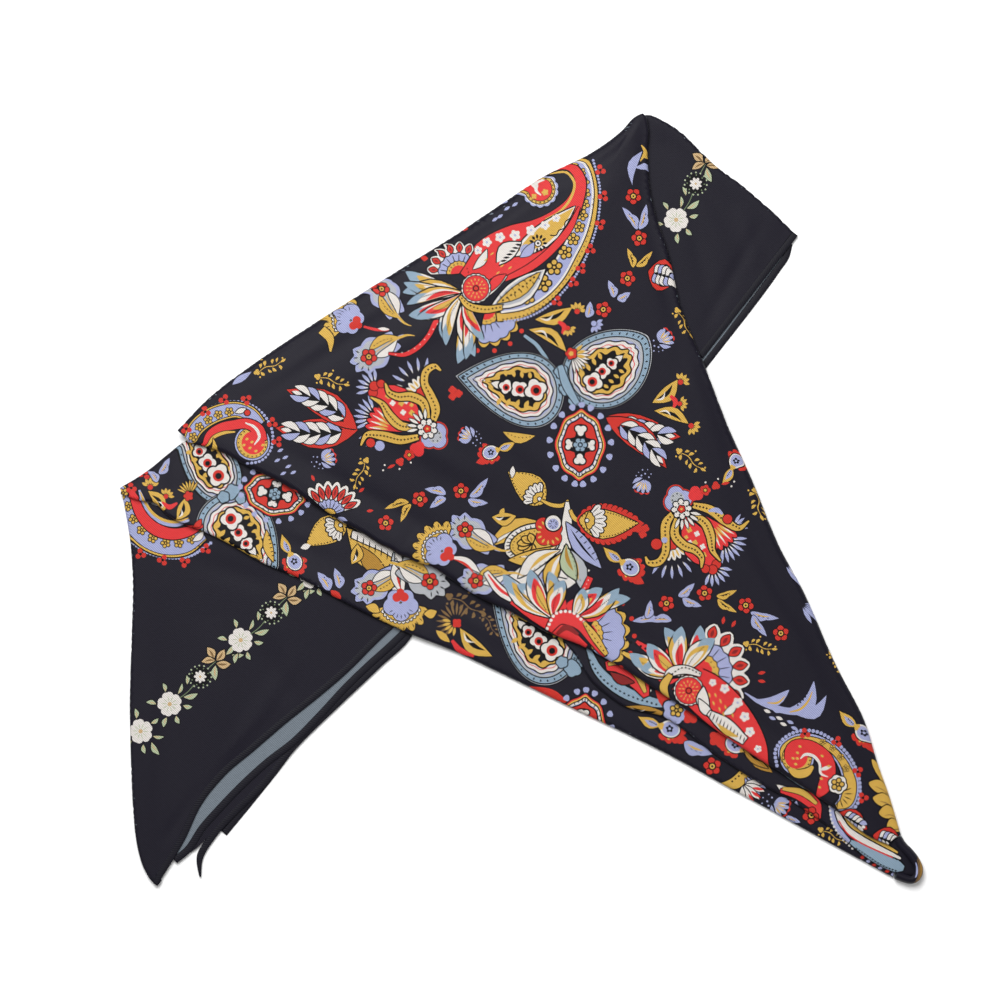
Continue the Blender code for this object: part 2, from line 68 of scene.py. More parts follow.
MM = 0.001
BODY = "root"
SILK = 0.35           # thickness of the shell
RIM_WIDTH = 13.0      # how far in from a crest its rise dies away
RIM_SHARE = 0.35
GRAIN = 3.0           # spacing of the shell's own points
ROLL_POINTS = 9       # rows of points round a rolled edge
INNER_GRAIN = 5.0
DENSE = 10            # fine sections between two sections of a plan
HEM_WIDTH = 5.0
HEM_WALL = 1.2
TWILL_SCALE = 0.38
ROUGHNESS_SPREAD = 0.05
BUMP_DEPTH = 0.0002   # metres
STITCH_PITCH = 3.0
STITCH_LENGTH = 2.0
STITCH_WIDTH = 0.45
STITCH_INSET = 0.7    # from the hem's inner side
STITCH_LEVEL = 0.9    # share of the hem's thickness that a stitch lies at
HEM_STEP = 1.2        # spacing of a hem's rows
HEM_SIDES = 16        # points round a hem
HEM_PUFF = 0.16       # share of a hem's thickness that a stitch draws in
WEAVE_SIDE = 0.8      # width on the weave's chart of one side of a hem
OUTLINE = 1.9         # weight of the print's dark outlines
BORDER_STEP = 2.0     # longest edge along the rim and the print's borders
WELD = 1e-5           # how near to each other two points of a shell become one
NEAR_ZERO = 1e-9
CHUNK = 4000          # points looked up at once
ROW_NUDGE = 0.04      # steps either way over which a normal is taken
RUN_NUDGE = 0.3
BAND_NUDGE = 0.4
REACH_MARGIN = 3      # how far past the lips a chart point still counts as a section's own

# Columns of a table of sections: plan points of edges A and B, their inward normals, then levels.
EDGE_A, EDGE_B, NORMAL_A, NORMAL_B = slice(0, 2), slice(2, 4), slice(4, 6), slice(6, 8)
A_LOW, A_TOP, A_LIP, A_IN, MID, B_IN, B_TOP, B_LOW, B_LIP = range(8, 17)

# Outside, inside and wall on the bake map: the share of it that each takes, and its corner.
BAKE_SHARES = np.array([0.66, 0.3, 0.3])
BAKE_CORNERS = np.array([(0.005, 0.005), (0.69, 0.01), (0.69, 0.5)])

# The print is charted in its own units, y down the chart.
UNIT = 0.69
CHART_X, CHART_Y = 521.5, 500.0

Points = np.ndarray
Colour = tuple[float, float, float]


def linear(red: int, green: int, blue: int) -> Colour:
    """Linear light of a colour given as 0 to 255."""
    share = np.array([red, green, blue]) / 255
    return tuple(np.where(share <= 0.04045, share / 12.92, ((share + 0.055) / 1.055) ** 2.4).tolist())


class Tint(Enum):
    """Colours of the print."""
    GROUND = linear(20, 18, 28)
    BLACK = linear(6, 5, 8)
    RED = linear(170, 42, 34)
    CORAL = linear(184, 45, 46)
    DEEP_RED = linear(112, 28, 28)
    GOLD = linear(177, 142, 64)
    DARK_GOLD = linear(146, 108, 42)
    LAVENDER = linear(136, 140, 173)
    TEAL = linear(116, 136, 152)
    WHITE = linear(188, 183, 178)
    GREY = linear(146, 148, 152)
    PALE_GREEN = linear(146, 156, 128)
    GREEN = linear(92, 106, 78)
    BROWN = linear(104, 80, 50)
    TAN = linear(168, 142, 104)
    REVERSE = linear(97, 105, 113)


# ---------------------------------------------------------------------------- the folded form
MAIN_PLAN = [
    (-237, 48, -230, 39.5), (-213.5, 72, -209, 34), (-183, 95, -192, 25), (-153, 115.3, -179, 18.5),
    (-115, 139.5, -163, 10.5), (-84, 159, -149.5, 1.5), (-49.5, 180.3, -135.5, -7.5),
    (-15, 203.4, -122, -16), (16, 223.5, -108.5, -23.5), (47.5, 239, -96.5, -31), (59, 246.5, -90, -34),
    (69.5, 255, -84, -38), (78, 263.8, -79, -39.5), (84.5, 266.2, -75, -41.5), (87.5, 256.5, -70.5, -43.5),
    (87, 241.5, -63, -45.5), (90, 207, -48, -55), (101, 171, -28.5, -67.5), (110.5, 131, -6.5, -77.5),
    (126, 93, 16, -90.5), (142, 51.5, 40.5, -100), (158.8, 14, 66.5, -114), (177.3, -31, 95.5, -132.5),
    (194.3, -63, 123, -151), (216.4, -113, 159, -175.5), (236.3, -152, 192, -196.5),
    (246, -183, 217, -214), (254.5, -207, 237.5, -230.5), (261.5, -231, 252.4, -237.3),
]
MAIN_LEVELS = [
    (0, 5.8, 10.4, 1.0, 10.4, 10.4, 10.4, 10.4, 5.8, 1.0), (1.5, 3.0, 9.6, 3, 10.2, 10.8, 10.8, 12.4, 5.8, 4),
    (3, 0, 8.0, 7, 10.2, 11.2, 10.8, 13.0, 5.8, 7), (9, 0, 7.6, 9, 10.2, 12.2, 10.6, 13.2, 5.8, 8),
    (11, 1.0, 8.2, 3, 10.2, 12.2, 10.6, 13.2, 5.8, 8), (12, 4.0, 9.0, 1.0, 10.2, 12.2, 10.6, 13.2, 5.8, 8),
    (13, 4.4, 9.0, 0.8, 10.2, 12.2, 10.6, 13.2, 5.8, 8), (14, 4.2, 9.0, 0.8, 10.2, 12.2, 10.6, 13.2, 5.8, 8),
    (16, 3.8, 9.4, 6, 10.2, 12.0, 10.6, 13.2, 5.8, 8), (18, 3.8, 9.4, 7, 10.2, 11.8, 10.8, 13.4, 6.2, 8),
    (19.4, 3.8, 9.4, 7, 10.4, 11.6, 11.4, 13.8, 7.4, 8), (20.6, 0, 8.6, 8, 10.2, 11.4, 11.8, 14.4, 8.6, 8),
    (24, 0, 8.0, 8, 9.8, 11.2, 11.8, 14.4, 8.6, 7), (26, 0, 7.8, 5, 9.4, 10.6, 11.4, 13.4, 8.5, 4),
    (28, 0, 7.0, 2, 8.4, 9.4, 10.4, 11.6, 8.0, 1.5),
]
MAIN_CREASES = [
    (-100, 120, 110, -60, 1.0, 16), (20, 190, 150, -50, -0.9, 18), (-150, 70, 40, -40, -0.8, 14),
    (60, -60, 215, -190, 0.8, 10), (-198, 60, -60, 148, -0.9, 7), (-150, 66, 70, 196, 0.9, 9),
    (-20, 178, 72, 236, -0.8, 8), (82, 232, 118, 78, -1.1, 7), (98, 150, 150, 8, 0.9, 7),
    (134, 20, 196, -96, -0.9, 8), (-176, 40, -40, -32, -0.9, 7), (-20, -46, 92, -104, -0.9, 7),
    (96, -104, 214, -192, -0.7, 6), (150, -30, 232, -170, 0.7, 7), (-40, 60, 60, -30, -0.7, 9),
    (40, 120, 80, 30, 0.7, 8), (-110, 62, -20, 8, 0.7, 8), (60, 12, 130, -82, -0.7, 8),
]
LOWER_PLAN = [
    (-276.8, 8.5, -276.2, 4), (-266.5, 14.4, -263, -0.5), (-256.5, 21.2, -253, -2),
    (-244, 31.5, -244, -10.5), (-232, 40.5, -232, -17), (-215, 44, -218.5, -22),
    (-192, 41.5, -201, -30.5), (-171.5, 32, -179, -43), (-145, 16.5, -153, -54),
    (-117.5, -0.5, -125, -69), (-90, -17, -99, -82), (-66, -29, -75, -93), (-38.5, -43.5, -49.5, -103),
    (-7, -61.5, -21.5, -116), (24, -77, 9.5, -130.9), (55, -90, 40.5, -146.2),
    (89.5, -110, 71.5, -160.8), (124, -134, 106, -178.1), (157.5, -157.5, 140.5, -197),
    (188, -180.5, 175, -215.8), (214.5, -199.5, 206, -233.1), (236.5, -219, 226.5, -244.2),
    (255.5, -237, 255.5, -260),
]
LOWER_LEVELS = [
    (0, 4.8, 7.6, 0.4, 7.6, 7.6, 7.6, 7.6, 4.8, 0.4), (1, 3.0, 7.6, 1, 8.2, 8.4, 8.6, 8.8, 4.8, 2),
    (2, 0, 7.2, 3, 7.8, 8.2, 8.6, 9.2, 4.8, 5), (3.5, 0, 5.2, 5, 5.2, 6.6, 8.0, 9.4, 4.8, 6),
    (5, 0, 5.0, 6, 5.0, 5.8, 8.0, 9.4, 4.8, 6), (10.4, 0, 5.0, 6, 5.0, 5.8, 7.6, 9.2, 4.8, 6),
    (11.3, 0, 5.0, 6, 5.0, 5.8, 6.8, 7.8, 3.4, 6), (12.4, 0, 5.0, 6, 5.0, 5.2, 5.2, 5.8, 0, 6),
    (15, 0, 4.6, 6, 4.6, 4.6, 4.6, 5.0, 0, 6), (19, 0, 4.4, 4, 4.4, 4.5, 4.5, 4.6, 0, 4),
    (22, 0, 4.2, 1.5, 4.2, 4.3, 4.3, 4.4, 0, 1.5),
]
LOWER_CREASES = [
    (-215, 10, -120, -40, 0.7, 6), (-60, -70, 60, -135, 0.5, 6), (-240, 12, -150, -22, -0.6, 4),
    (-110, -34, 20, -104, -0.6, 5), (60, -116, 170, -184, 0.6, 5), (-20, -84, 110, -160, -0.4, 4),
]
MIDDLE_PLAN = [
    (27.5, -86, 28, -96.5), (39, -90, 37, -107), (50.5, -94, 47.5, -124), (63, -101, 57.5, -133),
    (76, -108.5, 69.5, -141.5), (90, -116.5, 82, -145.5), (106, -127.5, 95.5, -148.5),
    (128, -143, 116.5, -162), (145, -154, 131.5, -174), (172.5, -174.5, 164.5, -195.5),
    (196.5, -189.5, 182, -205), (215.5, -203.5, 206, -221), (230, -215.5, 220, -232),
    (244.5, -228, 235, -245), (257, -234, 250.5, -253.5), (264, -241, 258, -257),
    (272.4, -251.5, 270.4, -259.5),
]
MIDDLE_LEVELS = [
    (0, 0, 6.2, 0, 6.2, 6.6, 7.2, 7.6, 5.1, 0.5), (3, 0, 7.2, 0, 7.2, 7.6, 8.0, 8.6, 5.1, 4),
    (8, 0, 7.6, 0, 7.6, 7.8, 8.0, 8.8, 5.0, 4), (13.6, 0, 7.2, 0, 7.2, 7.2, 7.3, 7.5, 4.8, 1.5),
    (14.8, 0, 6.8, 0, 6.8, 6.8, 6.8, 7.0, 4.8, 1.2), (16, 0, 5.0, 0, 5.0, 5.0, 5.0, 5.2, 2.4, 1),
]
CORNER_TOP_PLAN = [
    (-255.8, -261.8, -247.2, -259.3), (-259.5, -256, -242, -251.2), (-263, -247, -232, -234),
    (-266, -233, -222, -212.5), (-268.3, -207, -205.5, -191), (-269.6, -172.5, -184, -172.5),
    (-270.2, -138, -162.5, -154), (-269, -96.5, -140.5, -136.5), (-268.2, -55, -118.5, -117.5),
    (-270, -27.5, -97.5, -96.5), (-273.2, -8, -80.5, -80.5), (-275.4, 3.5, -71.5, -70.5),
]
CORNER_TOP_LEVELS = [
    (0, 0, 4.2, 0.2, 4.1, 4.1, 4.1, 4.1, 3.1, 0), (1, 0, 4.3, 0.8, 4.1, 4.1, 4.1, 4.1, 3.1, 0),
    (4, 0, 4.4, 5, 4.1, 4.2, 4.1, 4.1, 3.1, 0), (8, 0, 4.4, 6, 4.1, 4.2, 4.1, 4.1, 3.1, 0),
    (11, 0, 4.2, 3, 4.2, 4.2, 4.2, 4.2, 3.1, 0),
]
CORNER_TOP_CREASES = [
    (-262, -246, -258, -120, 0.8, 6), (-248, -60, -236, -215, -0.7, 9), (-214, -80, -200, -186, 0.7, 11),
    (-180, -90, -158, -146, -0.6, 8), (-150, -100, -226, -216, 0.5, 7), (-250, -240, -216, -196, -0.5, 5),
    (-232, -40, -160, -62, -0.5, 8),
]
CORNER_MIDDLE_PLAN = [
    (-238, -249.5, -221.5, -243.5), (-242, -239, -211, -233), (-247, -222, -197, -217.5),
    (-251, -200, -179, -200), (-253, -172.5, -154, -170), (-255, -138, -125, -141.6),
    (-256.5, -96.5, -97.5, -115.6), (-256.5, -69, -76, -94.5), (-256.5, -41.5, -70, -83),
]
CORNER_MIDDLE_LEVELS = [
    (0, 0, 2.6, 0, 2.6, 2.6, 2.6, 2.6, 1.55, 0), (8, 0, 2.6, 0, 2.6, 2.6, 2.6, 2.6, 1.55, 0),
]
CORNER_BOTTOM_PLAN = [
    (-222, -226, -203.3, -231.4), (-235.5, -207, -184, -208), (-241, -186.5, -168, -188),
    (-246, -152, -149.5, -163.5), (-249.5, -110.5, -118.5, -133), (-249.5, -69, -84, -98.5),
]
CORNER_BOTTOM_LEVELS = [(0, 0, 1, 0, 1, 1, 1, 1, 0, 0), (5, 0, 1, 0, 1, 1, 1, 1, 0, 0)]
FLAP_CREASES = [
    (98, 246, 152, 152, 0.7, 8), (112, 214, 134, 122, -0.6, 7), (150, 206, 164, 158, 0.5, 6),
    (168, 196, 122, 112, -0.5, 5),
]
FLAP_TOP_PLAN = [
    (80, 264.2, 109, 90), (88, 265.6, 110.3, 91.2), (96.5, 262.2, 111.6, 92.4),
    (109.5, 254.2, 112.9, 93.6), (123, 241, 114.2, 94.8), (133.5, 230.8, 115.5, 96),
    (151, 218, 116.8, 97.3), (164.5, 206.6, 118.1, 98.5), (175, 197.2, 119.3, 99.7),
    (187.2, 185.1, 121.6, 100.2),
]
FLAP_TOP_LEVELS = [
    (0, 0, 3.2, 1, 2.9, 2.9, 2.9, 2.9, 1.6, 0), (2, 0, 4.0, 4, 3.0, 3.0, 3.0, 3.0, 1.6, 0),
    (8, 0, 4.0, 4, 3.0, 3.0, 3.0, 3.0, 1.6, 0), (9, 0, 3.6, 2, 3.0, 3.0, 3.0, 3.0, 1.6, 0),
]
FLAP_UNDER_PLAN = [
    (96, 249, 109, 90.4), (123, 227, 112.4, 91.2), (151, 204, 115.9, 92), (168, 184, 119.4, 93),
    (180.4, 168.5, 123.9, 93.2),
]
FLAP_UNDER_LEVELS = [(0, 0, 1, 0, 1, 1, 1, 1, 0, 0), (4, 0, 1, 0, 1, 1, 1, 1, 0, 0)]


def hermite(knots: Points, values: Points, at: Points) -> Points:
    """Smooth curve through values, whose slope at a knot is the weighted mean of its neighbours'."""
    gaps = np.diff(knots)
    slopes = np.diff(values, axis=0) / gaps[:, None]
    tangents = np.vstack([slopes[:1], np.zeros_like(slopes[1:]), slopes[-1:]])
    before, after = gaps[:-1, None], gaps[1:, None]
    tangents[1:-1] = (slopes[:-1] * after + slopes[1:] * before) / (before + after)
    i = np.clip(np.searchsorted(knots, at, side="right") - 1, 0, len(gaps) - 1)
    f = ((at - knots[i]) / gaps[i])[:, None]
    h = gaps[i][:, None]
    return (
        (2 * f**3 - 3 * f**2 + 1) * values[i] + (f**3 - 2 * f**2 + f) * h * tangents[i]
        + (3 * f**2 - 2 * f**3) * values[i + 1] + (f**3 - f**2) * h * tangents[i + 1]
    )


def eased(knots: Points, values: Points, at: Points) -> Points:
    """Values that ease from one knot to the next and never pass beyond either."""
    i = np.clip(np.searchsorted(knots, at, side="right") - 1, 0, len(knots) - 2)
    f = np.clip((at - knots[i]) / (knots[i + 1] - knots[i]), 0, 1)
    f = (f * f * (3 - 2 * f))[:, None]
    return values[i] * (1 - f) + values[i + 1] * f


def lengths(line: Points) -> Points:
    """Distance run along a line at each of its points."""
    return np.concatenate([[0], np.cumsum(np.linalg.norm(np.diff(line, axis=0), axis=1))])


def unit(vectors: Points) -> Points:
    """Vectors brought to a length of 1."""
    return vectors / np.maximum(np.linalg.norm(vectors, axis=1), NEAR_ZERO)[:, None]


def compass(degrees: float) -> tuple[float, float]:
    """Cosine and sine of an angle."""
    return math.cos(math.radians(degrees)), math.sin(math.radians(degrees))


def inward(line: Points, side: int) -> Points:
    """Unit normals of a line in plan, to its right (side 1) or to its left (side -1)."""
    along = unit(np.gradient(line, axis=0))
    return side * np.stack([along[:, 1], -along[:, 0]], 1)


def smooth(corners: list, steps: int) -> Points:
    """Points along a smooth line through the corners, steps to each hop."""
    corners = np.array(corners, float)
    rows = np.linspace(0, len(corners) - 1, (len(corners) - 1) * steps + 1)
    run = lengths(corners)
    return hermite(run, corners, np.interp(rows, np.arange(len(corners)), run))


def crease_rise(creases: list, plan: Points) -> Points:
    """Height that soft ridges and troughs add at points in plan.

    Each is a bell across its line, from (x0, y0) to (x1, y1), and half a sine along it.
    """
    rise = np.zeros(len(plan))
    for x0, y0, x1, y1, height, width in creases:
        length = math.hypot(x1 - x0, y1 - y0)
        along = np.array([x1 - x0, y1 - y0]) / length
        offset = plan - (x0, y0)
        run = np.clip(offset @ along / length, 0, 1)
        across = offset @ np.array([-along[1], along[0]])
        rise += height * np.sin(math.pi * run) * np.exp(-((across / width) ** 2))
    return rise


def inside(ring: Points, points: Points) -> Points:
    """Whether each point lies in a closed ring, by counting the crossings of a ray."""
    x0, y0 = ring.T
    x1, y1 = np.roll(ring, -1, axis=0).T
    px, py = points[:, :1], points[:, 1:]
    spans = (y0 <= py) != (y1 <= py)
    rise = np.where(y1 == y0, 1, y1 - y0)
    crossed = spans & (px < x0 + (py - y0) * (x1 - x0) / rise)
    return crossed.sum(1) % 2 == 1


def densified(ring: Points, step: float) -> Points:
    """The closed ring with points added so that no edge is longer than step."""
    after = np.roll(ring, -1, axis=0)
    count = np.maximum(1, np.ceil(np.linalg.norm(after - ring, axis=1) / step)).astype(int)
    part = np.arange(count.sum()) - np.repeat(np.cumsum(count) - count, count)
    share = (part / np.repeat(count, count))[:, None]
    return np.repeat(ring, count, axis=0) * (1 - share) + np.repeat(after, count, axis=0) * share


@dataclass
class Stretch:
    """One stretch of cloth between two edge lines, A and B, with its chart and its surface.

    plan: sections as (a_x, a_y, b_x, b_y).
    levels: heights and lips as (row, a_low, a_top, a_lip, a_in, mid, b_in, b_top, b_low, b_lip).
    rolled: whether A and B are rolled folds.  trims: how far cut edges stop short.
    """
    name: str
    plan: list
    levels: list
    rolled: tuple[bool, bool] = (False, False)
    trims: tuple[float, float] = (0.0, 0.0)
    creases: list = field(default_factory=list)

    def __post_init__(self) -> None:
        """Works out the fine sections."""
        plan = np.array(self.plan, float)
        hops = np.hypot(*np.diff(plan[:, :2], axis=0).T) + np.hypot(*np.diff(plan[:, 2:], axis=0).T)
        run = np.concatenate([[0], np.cumsum(hops)])
        self.rows = np.linspace(0, len(plan) - 1, (len(plan) - 1) * DENSE + 1)
        lines = hermite(run, plan, np.interp(self.rows, np.arange(len(plan)), run))
        levels = np.array(self.levels, float)
        told = eased(levels[:, 0], levels[:, 1:], self.rows)
        self.table = np.column_stack([lines, inward(lines[:, :2], 1), inward(lines[:, 2:], -1), told])
        self.inner_a, self.inner_b, self.radius_a, self.radius_b = self.inner(self.table)
        across = self.inner_b - self.inner_a
        self.width = np.linalg.norm(across, axis=1)
        self.course = across / self.width[:, None]
        self.reach_a = math.pi * self.radius_a + self.table[:, A_LIP] if self.rolled[0] else self.width * 0
        self.reach_b = math.pi * self.radius_b + self.table[:, B_LIP] if self.rolled[1] else self.width * 0

    def inner(self, q: Points) -> tuple[Points, Points, Points, Points]:
        """Inner lines of both edges and the radii of their rolls, for rows of the section table."""
        radius_a = (q[:, A_TOP] - q[:, A_LOW]) / 2
        radius_b = (q[:, B_TOP] - q[:, B_LOW]) / 2
        start_a = radius_a if self.rolled[0] else radius_a * 0 + self.trims[0]
        start_b = radius_b if self.rolled[1] else radius_b * 0 + self.trims[1]
        inner_a = q[:, EDGE_A] + q[:, NORMAL_A] * start_a[:, None]
        inner_b = q[:, EDGE_B] + q[:, NORMAL_B] * start_b[:, None]
        return inner_a, inner_b, radius_a, radius_b

    def sampled(self, row: Points, table: Points) -> Points:
        """A table of the fine sections, read at any rows."""
        at = np.clip(row * DENSE, 0, len(self.rows) - 1)
        i = np.minimum(at.astype(int), len(self.rows) - 2)
        f = (at - i)[:, None]
        return table[i] * (1 - f) + table[i + 1] * f

    def place(self, row: Points, run: Points) -> Points:
        """Outer surface at a row and a run across it: the top between the inner lines, half a turn
        round each rolled edge, then the lip tucked under."""
        q = self.sampled(row, self.table)
        inner_a, inner_b, radius_a, radius_b = self.inner(q)
        across = inner_b - inner_a
        width = np.linalg.norm(across, axis=1)
        share = np.clip(run / width, 0, 1)
        plan = inner_a + across * share[:, None]
        a_low, a_top, a_in, mid, b_in, b_top, b_low = q[:, [A_LOW, A_TOP, A_IN, MID, B_IN, B_TOP, B_LOW]].T
        pull = 2 * mid - (a_in + b_in) / 2
        height = (1 - share) ** 2 * a_in + 2 * share * (1 - share) * pull + share**2 * b_in
        rim = np.minimum(RIM_WIDTH, RIM_SHARE * width)
        height += (a_top - a_in) * np.exp(-((share * width / rim) ** 2))
        height += (b_top - b_in) * np.exp(-(((1 - share) * width / rim) ** 2))
        fade = np.minimum(1, np.minimum(share, 1 - share) * width / RIM_WIDTH)
        height += fade * crease_rise(self.creases, plan)
        point = np.column_stack([plan, height])
        for side, past, edge, normal, low, radius in (
            (0, -run, q[:, EDGE_A], q[:, NORMAL_A], a_low, radius_a),
            (1, run - width, q[:, EDGE_B], q[:, NORMAL_B], b_low, radius_b),
        ):
            if self.rolled[side]:
                angle = np.clip(past / radius, 0, math.pi)
                inset = radius * (1 - np.sin(angle)) + np.maximum(0, past - math.pi * radius)
                turned = np.column_stack([edge + normal * inset[:, None], low + radius * (1 + np.cos(angle))])
                point = np.where((past > 0)[:, None], turned, point)
        return point

    def surface(self, row: Points, run: Points) -> tuple[Points, Points]:
        """Points of the outer surface and their outward normals."""
        last = self.rows[-1]
        ahead, behind = np.minimum(row + ROW_NUDGE, last), np.maximum(row - ROW_NUDGE, 0)
        along = self.place(ahead, run) - self.place(behind, run)
        across = self.place(row, run + RUN_NUDGE) - self.place(row, run - RUN_NUDGE)
        return self.place(row, run), unit(np.cross(across, along))

    def chart(self, row: Points, run: Points) -> Points:
        """Chart point of a row and a run."""
        q = self.sampled(row, np.column_stack([self.inner_a, self.course]))
        return q[:, :2] + q[:, 2:] * run[:, None]

    def locate(self, points: Points) -> tuple[Points, Points]:
        """Row and run of chart points, from the pair of fine sections that each lies between."""
        low, high = -self.reach_a - REACH_MARGIN, self.width + self.reach_b + REACH_MARGIN
        rows = []
        for part in np.array_split(points, len(points) // CHUNK + 1):
            offset = part[:, None] - self.inner_a[None]
            ahead = self.course[:, 0] * offset[:, :, 1] - self.course[:, 1] * offset[:, :, 0]
            run = (offset * self.course).sum(2)
            within = (run > low) & (run < high)
            ahead[:, 0] = np.maximum(ahead[:, 0], NEAR_ZERO)
            ahead[:, -1] = np.minimum(ahead[:, -1], -NEAR_ZERO)
            hit = (ahead[:, :-1] >= 0) & (ahead[:, 1:] < 0)
            i = np.argmax(hit * (1 + (within[:, :-1] & within[:, 1:])), axis=1)
            here, after = ahead[np.arange(len(part)), i], ahead[np.arange(len(part)), i + 1]
            rows.append((i + here / (here - after)) / DENSE)
        row = np.concatenate(rows)
        q = self.sampled(row, np.column_stack([self.inner_a, self.course]))
        return row, ((points - q[:, :2]) * q[:, 2:]).sum(1)

    def outline(self) -> Points:
        """The chart's own outline, from A's lip round to B's."""
        a_side = self.inner_a - self.course * self.reach_a[:, None]
        b_side = self.inner_b + self.course * self.reach_b[:, None]
        return np.vstack([a_side, b_side[::-1]])

    def seeds(self) -> Points:
        """Points that keep the shell fine enough round its rolled edges."""
        count = max(2, int(lengths((self.inner_a + self.inner_b) / 2)[-1] / GRAIN))
        row = np.linspace(0, self.rows[-1], count + 1)[1:-1]
        sets = []
        for side, radius in ((0, self.radius_a), (1, self.radius_b)):
            if self.rolled[side]:
                reach = np.interp(row, self.rows, radius) * math.pi
                share = np.linspace(0, 1, ROLL_POINTS)[:, None]
                run = -reach * share if side == 0 else np.interp(row, self.rows, self.width) + reach * share
                sets.append(self.chart(np.tile(row, ROLL_POINTS), run.ravel()))
        return np.vstack(sets) if sets else np.zeros((0, 2))


@dataclass
class Strip:
    """A band of cloth along one line: its profile, an inset and a height for each row, carried along."""
    name: str
    line: Points
    profile: list

    def __post_init__(self) -> None:
        """Works out the runs along the line and across the profile."""
        self.along = lengths(self.line)
        self.normal = inward(self.line, 1)
        self.shape = smooth(self.profile, 6)
        self.across = lengths(self.shape)

    def place(self, x: Points, y: Points) -> Points:
        """Outer surface at a run along and a run across."""
        at = np.column_stack([np.interp(x, self.along, c) for c in (*self.line.T, *self.normal.T)])
        inset, height = (np.interp(y, self.across, c) for c in self.shape.T)
        return np.column_stack([at[:, :2] + at[:, 2:] * inset[:, None], height])

    def surface(self, x: Points, y: Points) -> tuple[Points, Points]:
        """Points of the outer surface and their outward normals."""
        along = self.place(x + BAND_NUDGE, y) - self.place(x - BAND_NUDGE, y)
        across = self.place(x, y + RUN_NUDGE) - self.place(x, y - RUN_NUDGE)
        return self.place(x, y), unit(np.cross(across, along))

    def locate(self, points: Points) -> tuple[Points, Points]:
        """The chart is the band itself, laid straight."""
        return points[:, 0], points[:, 1]

    def outline(self) -> Points:
        """The band's rectangle."""
        x, y = self.along[-1], self.across[-1]
        return np.array([(0, 0), (x, 0), (x, y), (0, y)], float)

    def seeds(self) -> Points:
        """A fine grid, as the band is narrow and curls."""
        x = np.arange(1.0, self.along[-1], 1.5)
        y = np.arange(0.6, self.across[-1], 1.0)
        return np.stack(np.meshgrid(x, y), 2).reshape(-1, 2)


# ---------------------------------------------------------------------------- the print
def grown(ring: Points, by: float) -> Points:
    """A closed ring moved outwards by a distance."""
    along = np.roll(ring, -1, axis=0) - np.roll(ring, 1, axis=0)
    out = np.stack([along[:, 1], -along[:, 0]], 1) / np.maximum(np.linalg.norm(along, axis=1), 1e-6)[:, None]
    x, y = ring.T
    turn = np.sign((x * np.roll(y, -1) - y * np.roll(x, -1)).sum())
    return ring + out * by * turn


def polar(x: float, y: float, radius: Points, angle: Points) -> Points:
    """Points round a centre, angles in radians."""
    return np.column_stack([x + radius * np.cos(angle), y + radius * np.sin(angle)])


